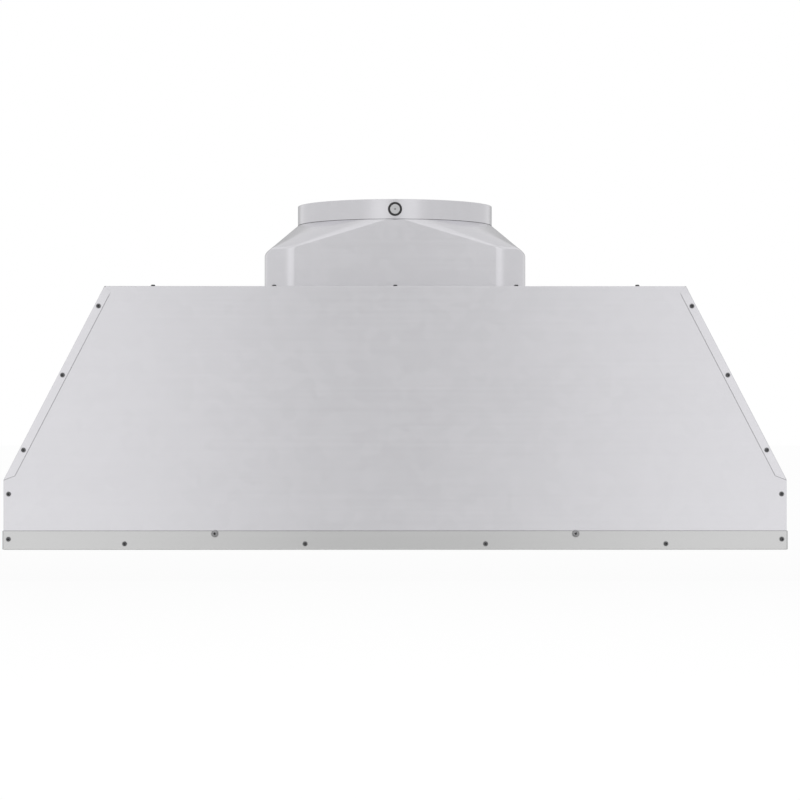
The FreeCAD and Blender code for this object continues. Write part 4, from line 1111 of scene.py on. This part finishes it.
@dataclass
class ControlPanel:
    """Lamp panel with its two lamps, the switch and its push buttons."""

    lamp_x: float = 0.27
    lamp_y: float = -0.2288
    lens_radius: float = 0.029
    lens_low: float = 0.0195
    lens_depth: float = 0.0025
    lens_rings: int = 6
    lens_groove: float = 0.00025
    lens_dish: float = 0.0003
    lens_edge_steps: int = 2
    button_pitch: float = 0.026
    button_count: int = 5
    button_radius: float = 0.008
    button_low: float = 0.015
    button_high: float = 0.0222
    button_dish: float = 0.0006
    button_ring: float = 0.0013
    button_edge: float = 0.0009
    button_edge_steps: int = 4
    flange_radius: float = 0.0092
    flange_depth: float = 0.0015
    stem_radius: float = 0.003
    stem_depth: float = 0.0045
    turns: int = 48
    # Painted shade: the lamp panel's sheet is made 12% darker, as shade of its recess inside the rim
    panel_recess_shade: float = -0.12

    def model_lens(self, x: float, name: str) -> Piece:
        """Model a ribbed lens from a disc: rings inset one in another, each a step further in.

        Args:
            x: Where the lamp is.
            name: Name of the piece.

        Returns:
            The lens.
        """
        place = (x, self.lamp_y, self.lens_low + self.lens_depth / 2)
        lens = cylinder(name, self.lens_radius, self.lens_depth, place, self.turns)
        with editing(lens):
            select_faces(lens, facing(-1.0))
            for ring in range(2 * self.lens_rings):
                bpy.ops.mesh.inset(thickness=self.lens_radius / (2 * self.lens_rings + 1))
                groove = self.lens_groove if ring % 2 == 0 else -self.lens_groove
                raise_selected(groove + self.lens_dish / self.lens_rings)
            round_edges(lens, level(self.lens_low), self.lens_groove, self.lens_edge_steps)
        smooth(lens)
        return lens

    def model_button(self) -> Piece:
        """Model a push button with a dished face, a flange behind the panel and a stem.

        Returns:
            The button at the middle of the row.
        """
        depth = self.button_high - self.button_low
        place = (0.0, self.lamp_y, self.button_low + depth / 2)
        button = cylinder("push_button", self.button_radius, depth, place, self.turns)
        with editing(button):
            select_faces(button, facing(1.0))
            for share, rise in ((self.flange_radius / self.button_radius, self.flange_depth),
                                (self.stem_radius / self.flange_radius, self.stem_depth)):
                extrude_selected()
                scale_selected(share, place)
                extrude_selected(rise)
            select_faces(button, lambda c, n: facing(-1.0)(c, n) and near(c.z, self.button_low))
            bpy.ops.mesh.inset(thickness=self.button_ring)
            for width, rise in ((self.button_dish, self.button_dish),
                                (self.button_radius / 3, self.button_dish / 3)):
                bpy.ops.mesh.inset(thickness=width)
                raise_selected(rise)
            round_edges(button, self.on_button_rim, self.button_edge, self.button_edge_steps)
        smooth(button)
        return button

    def on_button_rim(self, first: Vector, second: Vector) -> bool:
        """Whether an edge is the outer rim of a button's face."""
        reaches = [math.hypot(p.x, p.y - self.lamp_y) for p in (first, second)]
        return (level(self.button_low)(first, second)
                and all(near(reach, self.button_radius) for reach in reaches))

    def build(self) -> None:
        """Model the lenses and buttons, and dress the panel."""
        for name, x in (("left", -self.lamp_x), ("right", self.lamp_x)):
            node = name + "_lamp_lens"
            dress_piece(self.model_lens(x, node + "_dressed"), node)
            dress_nodes(name + "_lamp_bezel", name + "_lamp_body")
        master = self.model_button()
        for number in range(1, self.button_count + 1):
            node = "button_%d" % number
            button = own_copy(master, node + "_dressed")
            shift = (number - (self.button_count + 1) / 2) * self.button_pitch
            button.data.transform(Matrix.Translation((shift, 0.0, 0.0)))
            dress_piece(button, node)
        bpy.data.objects.remove(master)
        # Painted shade: a darker copy of the sheet for the recessed lamp panel
        dress_nodes("lamp_panel", tint=self.panel_recess_shade)
        dress_nodes("switch_bezel", "switch_block")


@dataclass
class BlowerAndElectrics:
    """Twin blower, its motor, the junction box and the capacitor."""

    sheets: tuple[str, ...] = ("left_scroll", "right_scroll", "inlet_rings",
                               "junction_box", "junction_box_cover")
    others: tuple[str, ...] = ("left_impeller", "right_impeller", "motor_casing", "motor_stator",
                               "motor_rotor", "motor_shaft", "motor_bearings", "capacitor")

    def build(self) -> None:
        """Dress the nodes."""
        dress_nodes(*self.sheets, grain=Axis.Z)
        dress_nodes(*self.others)


@dataclass(frozen=True)
class ScrewSize:
    """Sizes of a pan-head screw with a cross recess."""

    head: float
    shank: float
    length: float
    proportion: float = 0.36

    @property
    def height(self) -> float:
        """Height of the head."""
        return self.head * self.proportion


@dataclass(frozen=True)
class LoosePart:
    """Box and mean point of one fastener among the solids of a CAD node."""

    low: Vector
    high: Vector
    mean: Vector

    @property
    def foot(self) -> Vector:
        """Middle of the box's underside."""
        return Vector(((self.low.x + self.high.x) / 2, (self.low.y + self.high.y) / 2, self.low.z))

    def placement(self, height: float, spin: float) -> Matrix:
        """Placement of a screw that is modelled upright at the origin.

        Args:
            height: Height of its head.
            spin: Its turn about its own axis.

        Returns:
            The placement; the head lies on the side of the mean point.
        """
        spans = self.high - self.low
        axis = max(range(3), key=lambda number: spans[number])
        seat = (self.low + self.high) / 2
        outward = Vector(ORIGIN)
        outward[axis] = 1.0 if self.mean[axis] > seat[axis] else -1.0
        seat[axis] = self.high[axis] - height if outward[axis] > 0 else self.low[axis] + height
        turn = outward.to_track_quat("Z", "Y").to_matrix().to_4x4()
        return Matrix.Translation(seat) @ turn @ Matrix.Rotation(spin, 4, "Z")


@dataclass
class Fasteners:
    """All the screws and the capacitor's nut, modelled once and copied to their sites."""

    small: ScrewSize = ScrewSize(0.005, 0.003, 0.007, 0.43)
    large: ScrewSize = ScrewSize(0.0076, 0.004, 0.009)
    turns: int = 28
    crown: float = 0.55
    crown_steps: int = 5
    tip_scale: float = 0.25
    arm: float = 0.31
    slot: float = 0.085
    recess: float = 0.62
    arm_taper: float = 0.45
    slot_taper: float = 0.7
    spin_step_deg: float = 37.0
    nut_sides: int = 6
    nut_flats: float = 0.013
    nut_height: float = 0.006
    nut_bore: float = 0.0041
    nut_edge: float = 0.0006
    nut_edge_steps: int = 2
    bore_turns: int = 32

    def cut_recess(self, screw: Piece, size: ScrewSize) -> None:
        """Cut the cross recess into a head with two tapered blades, and mark its faces for the painted recess
        shade.

        Args:
            screw: Upright screw at the origin.
            size: Its sizes.
        """
        arm = self.arm * size.head
        blade_size = (2 * arm, 2 * self.slot * size.head, 2 * size.height * self.recess)
        tapers = (self.arm_taper, self.slot_taper)
        for turn, taper in ((0.0, tapers), (QUARTER, tapers[::-1])):
            bpy.ops.mesh.primitive_cube_add(size=1.0, location=(0.0, 0.0, size.height), scale=blade_size,
                                            rotation=(0.0, 0.0, turn))
            blade = named("recess_blade")
            with editing(blade):
                select_faces(blade, facing(-1.0))
                bpy.ops.transform.resize(value=(*taper, 1.0), center_override=ORIGIN)
            carve(screw, blade)
        # Mark the recess faces, which the screw finish paints near-black as shade
        marks = screw.data.attributes.new("recess", "FLOAT", "FACE")
        for face in screw.data.polygons:
            sunk = 0.0 < face.center.z < size.height - TOUCH
            marks.data[face.index].value = float(sunk and face.center.xy.length < arm)

    def model_screw(self, size: ScrewSize) -> Piece:
        """Model a screw, head up, seated at the origin.

        Args:
            size: Its sizes.

        Returns:
            The screw.
        """
        tip = size.shank / 2
        screw = cylinder("screw", size.head / 2, size.height, (0.0, 0.0, size.height / 2), self.turns)
        with editing(screw):
            round_edges(screw, level(size.height), size.height * self.crown, self.crown_steps)
            select_faces(screw, facing(-1.0))
            bpy.ops.mesh.inset(thickness=(size.head - size.shank) / 2)
            extrude_selected(tip - size.length)
            extrude_selected(-tip)
            scale_selected(self.tip_scale, ORIGIN)
        self.cut_recess(screw, size)
        smooth(screw)
        return screw

    def model_nut(self) -> Piece:
        """Model a hexagon nut with rounded edges and its bore, standing on the origin.

        Returns:
            The nut.
        """
        height = self.nut_height
        nut = cylinder("nut", self.nut_flats / math.sqrt(3.0), height, (0.0, 0.0, height / 2), self.nut_sides)
        with editing(nut):
            round_edges(nut, level(height), self.nut_edge, self.nut_edge_steps)
        carve(nut, cylinder("nut_bore", self.nut_bore, 3 * height, ORIGIN, self.bore_turns))
        smooth(nut)
        return nut

    @staticmethod
    def loose_parts(node: str) -> list[LoosePart]:
        """Measure the solids of a CAD node.

        Args:
            node: Name of the CAD node.

        Returns:
            The parts in the order of their lowest corners.
        """
        copy = merged_copy(node)
        with editing(copy):
            bpy.ops.mesh.select_all(action="SELECT")
            bpy.ops.mesh.separate(type="LOOSE")
        found = []
        for part in list(bpy.context.selected_objects):
            points = [vert.co.copy() for vert in part.data.vertices]
            low, high = (Vector([pick_end(column) for column in zip(*points)]) for pick_end in (min, max))
            found.append(LoosePart(low, high, sum(points, Vector()) / len(points)))
            bpy.data.objects.remove(part)
        return sorted(found, key=lambda part: tuple(round(x, 5) for x in part.low))

    @staticmethod
    def copies(master: Piece, placements: Sequence[Matrix]) -> list[Piece]:
        """Copy a master to its places and remove it.

        Args:
            master: The modelled fastener.
            placements: Where the copies stand.

        Returns:
            The copies, each with its own mesh.
        """
        made = [own_copy(master, master.name) for _ in placements]
        for copy, placement in zip(made, placements):
            copy.data.transform(placement)
        bpy.data.objects.remove(master)
        return made

    def build_node(self, node: str, size: ScrewSize) -> None:
        """Stand new screws, and the nut among them, on the sites of one CAD node.

        Args:
            node: Name of the CAD node.
            size: Sizes of its screws.
        """
        nuts, screws = [], []
        for part in self.loose_parts(node):
            wide = min((part.high - part.low).xy) > 2 * self.nut_flats / 3
            (nuts if wide else screws).append(part)
        spin = math.radians(self.spin_step_deg)
        placements = [part.placement(size.height, spin * number) for number, part in enumerate(screws)]
        pieces = self.copies(self.model_screw(size), placements)
        if nuts:
            pieces += self.copies(self.model_nut(), [Matrix.Translation(part.foot) for part in nuts])
        pick(*pieces)
        bpy.ops.object.join()
        dress_piece(named(node + "_dressed"), node)

    def build(self) -> None:
        """Build the screws of every node."""
        for node in ("panel_screws", "top_screws"):
            self.build_node(node, self.small)
        self.build_node("rail_screws", self.large)


@dataclass
class Lamp:
    """One soft lamp of the studio."""

    name: str
    place: Triple
    size: Span
    watts: float
    aim: Triple = (0.0, 0.0, 0.2)

    def build(self) -> None:
        """Hang the lamp and point it at its aim."""
        data = bpy.data.lights.new(self.name, "AREA")
        data.shape = "RECTANGLE"
        data.size, data.size_y = self.size
        data.energy = self.watts
        lamp = bpy.data.objects.new(self.name, data)
        bpy.context.scene.collection.objects.link(lamp)
        lamp.location = self.place
        lamp.rotation_euler = (Vector(self.aim) - Vector(self.place)).to_track_quat("-Z", "Y").to_euler()
        lamp.visible_camera = False
        lamp.visible_glossy = False


@dataclass(frozen=True)
class Fade:
    """How a card's shade fades along one axis, from full at the start to none at the end."""

    axis: Axis
    start: float
    end: float
    folded: bool = False


UPRIGHT: Triple = (QUARTER, 0.0, 0.0)
SIDEWAYS: Triple = (0.0, QUARTER, 0.0)
SIDE_FADES = (Fade(Axis.Y, -3.5, -10.0), Fade(Axis.Y, 2.5, 5.5), Fade(Axis.Z, 1.8, 3.2))


@dataclass
class Card:
    """A grey card that only reflections see, its shade fading out towards its edges."""

    name: str
    place: Triple
    size: Span
    turn: Triple
    shade: float
    fades: tuple[Fade, ...]
    flat: bool = False

    def material(self) -> Material:
        """Light of the card: white less its shade.

        Returns:
            The material.
        """
        sketch = MaterialSketch(self.name)
        axes = sketch.node("SeparateXYZ", {0: sketch.place}).outputs
        shade: Value = 1.0
        for fade in self.fades:
            along = axes[fade.axis.value]
            if fade.folded:
                along = sketch.maths("ABSOLUTE", along)
            share = sketch.spread(along, 1.0, 0.0, (fade.start, fade.end), soft=True)
            shade = sketch.maths("MULTIPLY", shade, share)
        light = sketch.spread(shade, 1.0, 1.0 - self.shade, UNIT)
        sketch.show(sketch.node("Emission", {"Strength": light}).outputs[0])
        return sketch.material

    def build(self) -> None:
        """Stand the card in its place."""
        bpy.ops.mesh.primitive_plane_add(size=1.0, location=self.place, rotation=self.turn)
        bpy.context.object.scale = (*self.size, 1.0)
        card = named(self.name)
        card.data.materials.append(self.material())
        card.visible_camera = False
        card.visible_transmission = False
        card.visible_shadow = not self.flat
        card.visible_diffuse = not self.flat


@dataclass
class Studio:
    """Pale floor, white surroundings, soft lamps, grey cards and the camera."""

    floor_z: float = -0.46
    floor_size: float = 60.0
    floor_colour: Triple = (0.7, 0.7, 0.7)
    floor_glow: float = 0.82
    floor_white: float = 1.078
    floor_rise: Span = (1.0, 4.5)
    fill: float = 0.8
    camera_place: Triple = (-0.0056, -3.06, 0.1742)
    camera_yaw: float = -0.004
    focal_pixels: float = 2369.5
    frame_pixels: float = 800.0
    sensor: float = 36.0
    lamps: list[Lamp] = field(default_factory=lambda: [
        Lamp("Left_softbox", (-2.7, -2.5, 1.2), (1.5, 2.2), 16.0),
        Lamp("Right_softbox", (2.7, -2.5, 1.2), (1.5, 2.2), 16.0),
        Lamp("Top_softbox", (0.0, 0.2, 3.2), (2.6, 2.6), 30.0),
    ])
    cards: list[Card] = field(default_factory=lambda: [
        Card("Front_card", (0.0, -5.2, 1.3), (5.0, 3.5), UPRIGHT, 0.47,
             (Fade(Axis.X, 0.0, 0.95, True), Fade(Axis.Z, 0.6, 2.6))),
        Card("Foot_card", (0.1, -3.2, -0.455), (3.0, 4.0), ORIGIN, 0.34,
             (Fade(Axis.X, 0.0, 0.7, True), Fade(Axis.Y, -2.0, -1.2)), True),
        Card("Front_upper_card", (0.0, -5.4, 4.6), (10.0, 3.6), UPRIGHT, 0.24, (Fade(Axis.Z, 4.2, 2.8),)),
        Card("Rear_card", (0.0, 5.2, 3.0), (10.0, 6.9), UPRIGHT, 0.5,
             (Fade(Axis.X, 1.5, 5.0, True), Fade(Axis.Z, 1.0, 6.4))),
        Card("Left_card", (-3.2, -2.5, 1.4), (3.7, 16.0), SIDEWAYS, 0.2, SIDE_FADES),
        Card("Right_card", (3.2, -2.5, 1.4), (3.7, 16.0), SIDEWAYS, 0.22, SIDE_FADES),
        Card("Top_card", (0.0, 1.5, 4.4), (9.0, 9.0), ORIGIN, 0.19,
             (Fade(Axis.X, 2.0, 4.5, True), Fade(Axis.Y, 0.0, -3.0))),
    ])

    def build_world(self) -> None:
        """White surroundings for what is seen, and a plain fill for what is lit."""
        world = bpy.data.worlds.new("Studio_white")
        bpy.context.scene.world = world
        world.use_nodes = True
        sketch = NodeSketch(world.node_tree)
        sketch.tree.nodes.clear()
        lit, seen = (sketch.node("Background", {"Color": WHITE, "Strength": strength}).outputs[0]
                     for strength in (self.fill, 1.0))
        sketch.node("OutputWorld", {"Surface": sketch.mix(sketch.seen_directly(), lit, seen)})

    def floor_seen(self, sketch: MaterialSketch) -> Socket:
        """A value that is 1 for the camera, and for reflections rises with the distance from the liner.

        Args:
            sketch: Material of the floor.

        Returns:
            The value.
        """
        reach = sketch.node("VectorMath", {0: sketch.place}, operation="LENGTH").outputs["Value"]
        rise = sketch.spread(reach, *UNIT, self.floor_rise, soft=True)
        mirrored = sketch.maths("MULTIPLY", sketch.seen_directly(), rise)
        return sketch.maths("MAXIMUM", sketch.node("LightPath", {}).outputs[CAMERA_RAY], mirrored)

    def floor_material(self) -> Material:
        """Pale floor that keeps the shadow, and that a camera under it looks through.

        Returns:
            The material.
        """
        sketch = MaterialSketch("Studio_floor")
        diffuse = sketch.node("BsdfDiffuse", {"Color": self.floor_colour}).outputs[0]
        glow = sketch.node("Emission", {"Strength": self.floor_white}).outputs[0]
        top = sketch.mix(sketch.maths("MULTIPLY", self.floor_seen(sketch), self.floor_glow), diffuse, glow)
        underside = sketch.node("NewGeometry", {}).outputs["Backfacing"]
        sketch.show(sketch.mix(underside, top, sketch.node("BsdfTransparent", {}).outputs[0]))
        return sketch.material

    def build_floor(self) -> None:
        """Lay the floor below the liner's open filters."""
        bpy.ops.mesh.primitive_plane_add(size=self.floor_size, location=(0.0, 0.0, self.floor_z))
        floor = named("Studio_floor")
        floor.data.materials.append(self.floor_material())

    def build_camera(self) -> None:
        """Stand the camera where the photograph was taken from."""
        data = bpy.data.cameras.new("Camera")
        data.sensor_width = self.sensor
        data.lens = self.focal_pixels / self.frame_pixels * self.sensor
        camera = bpy.data.objects.new("Camera", data)
        bpy.context.scene.collection.objects.link(camera)
        camera.location = self.camera_place
        camera.rotation_euler = (QUARTER, 0.0, self.camera_yaw)
        bpy.context.scene.camera = camera

    def build(self) -> None:
        """Set up the studio."""
        bpy.context.scene.view_settings.view_transform = "Standard"
        self.build_world()
        self.build_floor()
        self.build_camera()
        for fitting in (*self.lamps, *self.cards):
            fitting.build()


def main() -> None:
    """Build the liner's sub-assemblies in order, then the studio."""
    logging.basicConfig(level=logging.INFO, format="%(name)s %(message)s")
    for assembly in (BodyShell(), DuctOutlet(), FilterBank(), ControlPanel(),
                     BlowerAndElectrics(), Fasteners()):
        assembly.build()
        LOG.info("built %s", type(assembly).__name__)
    Studio().build()


if __name__ == "__main__":
    main()
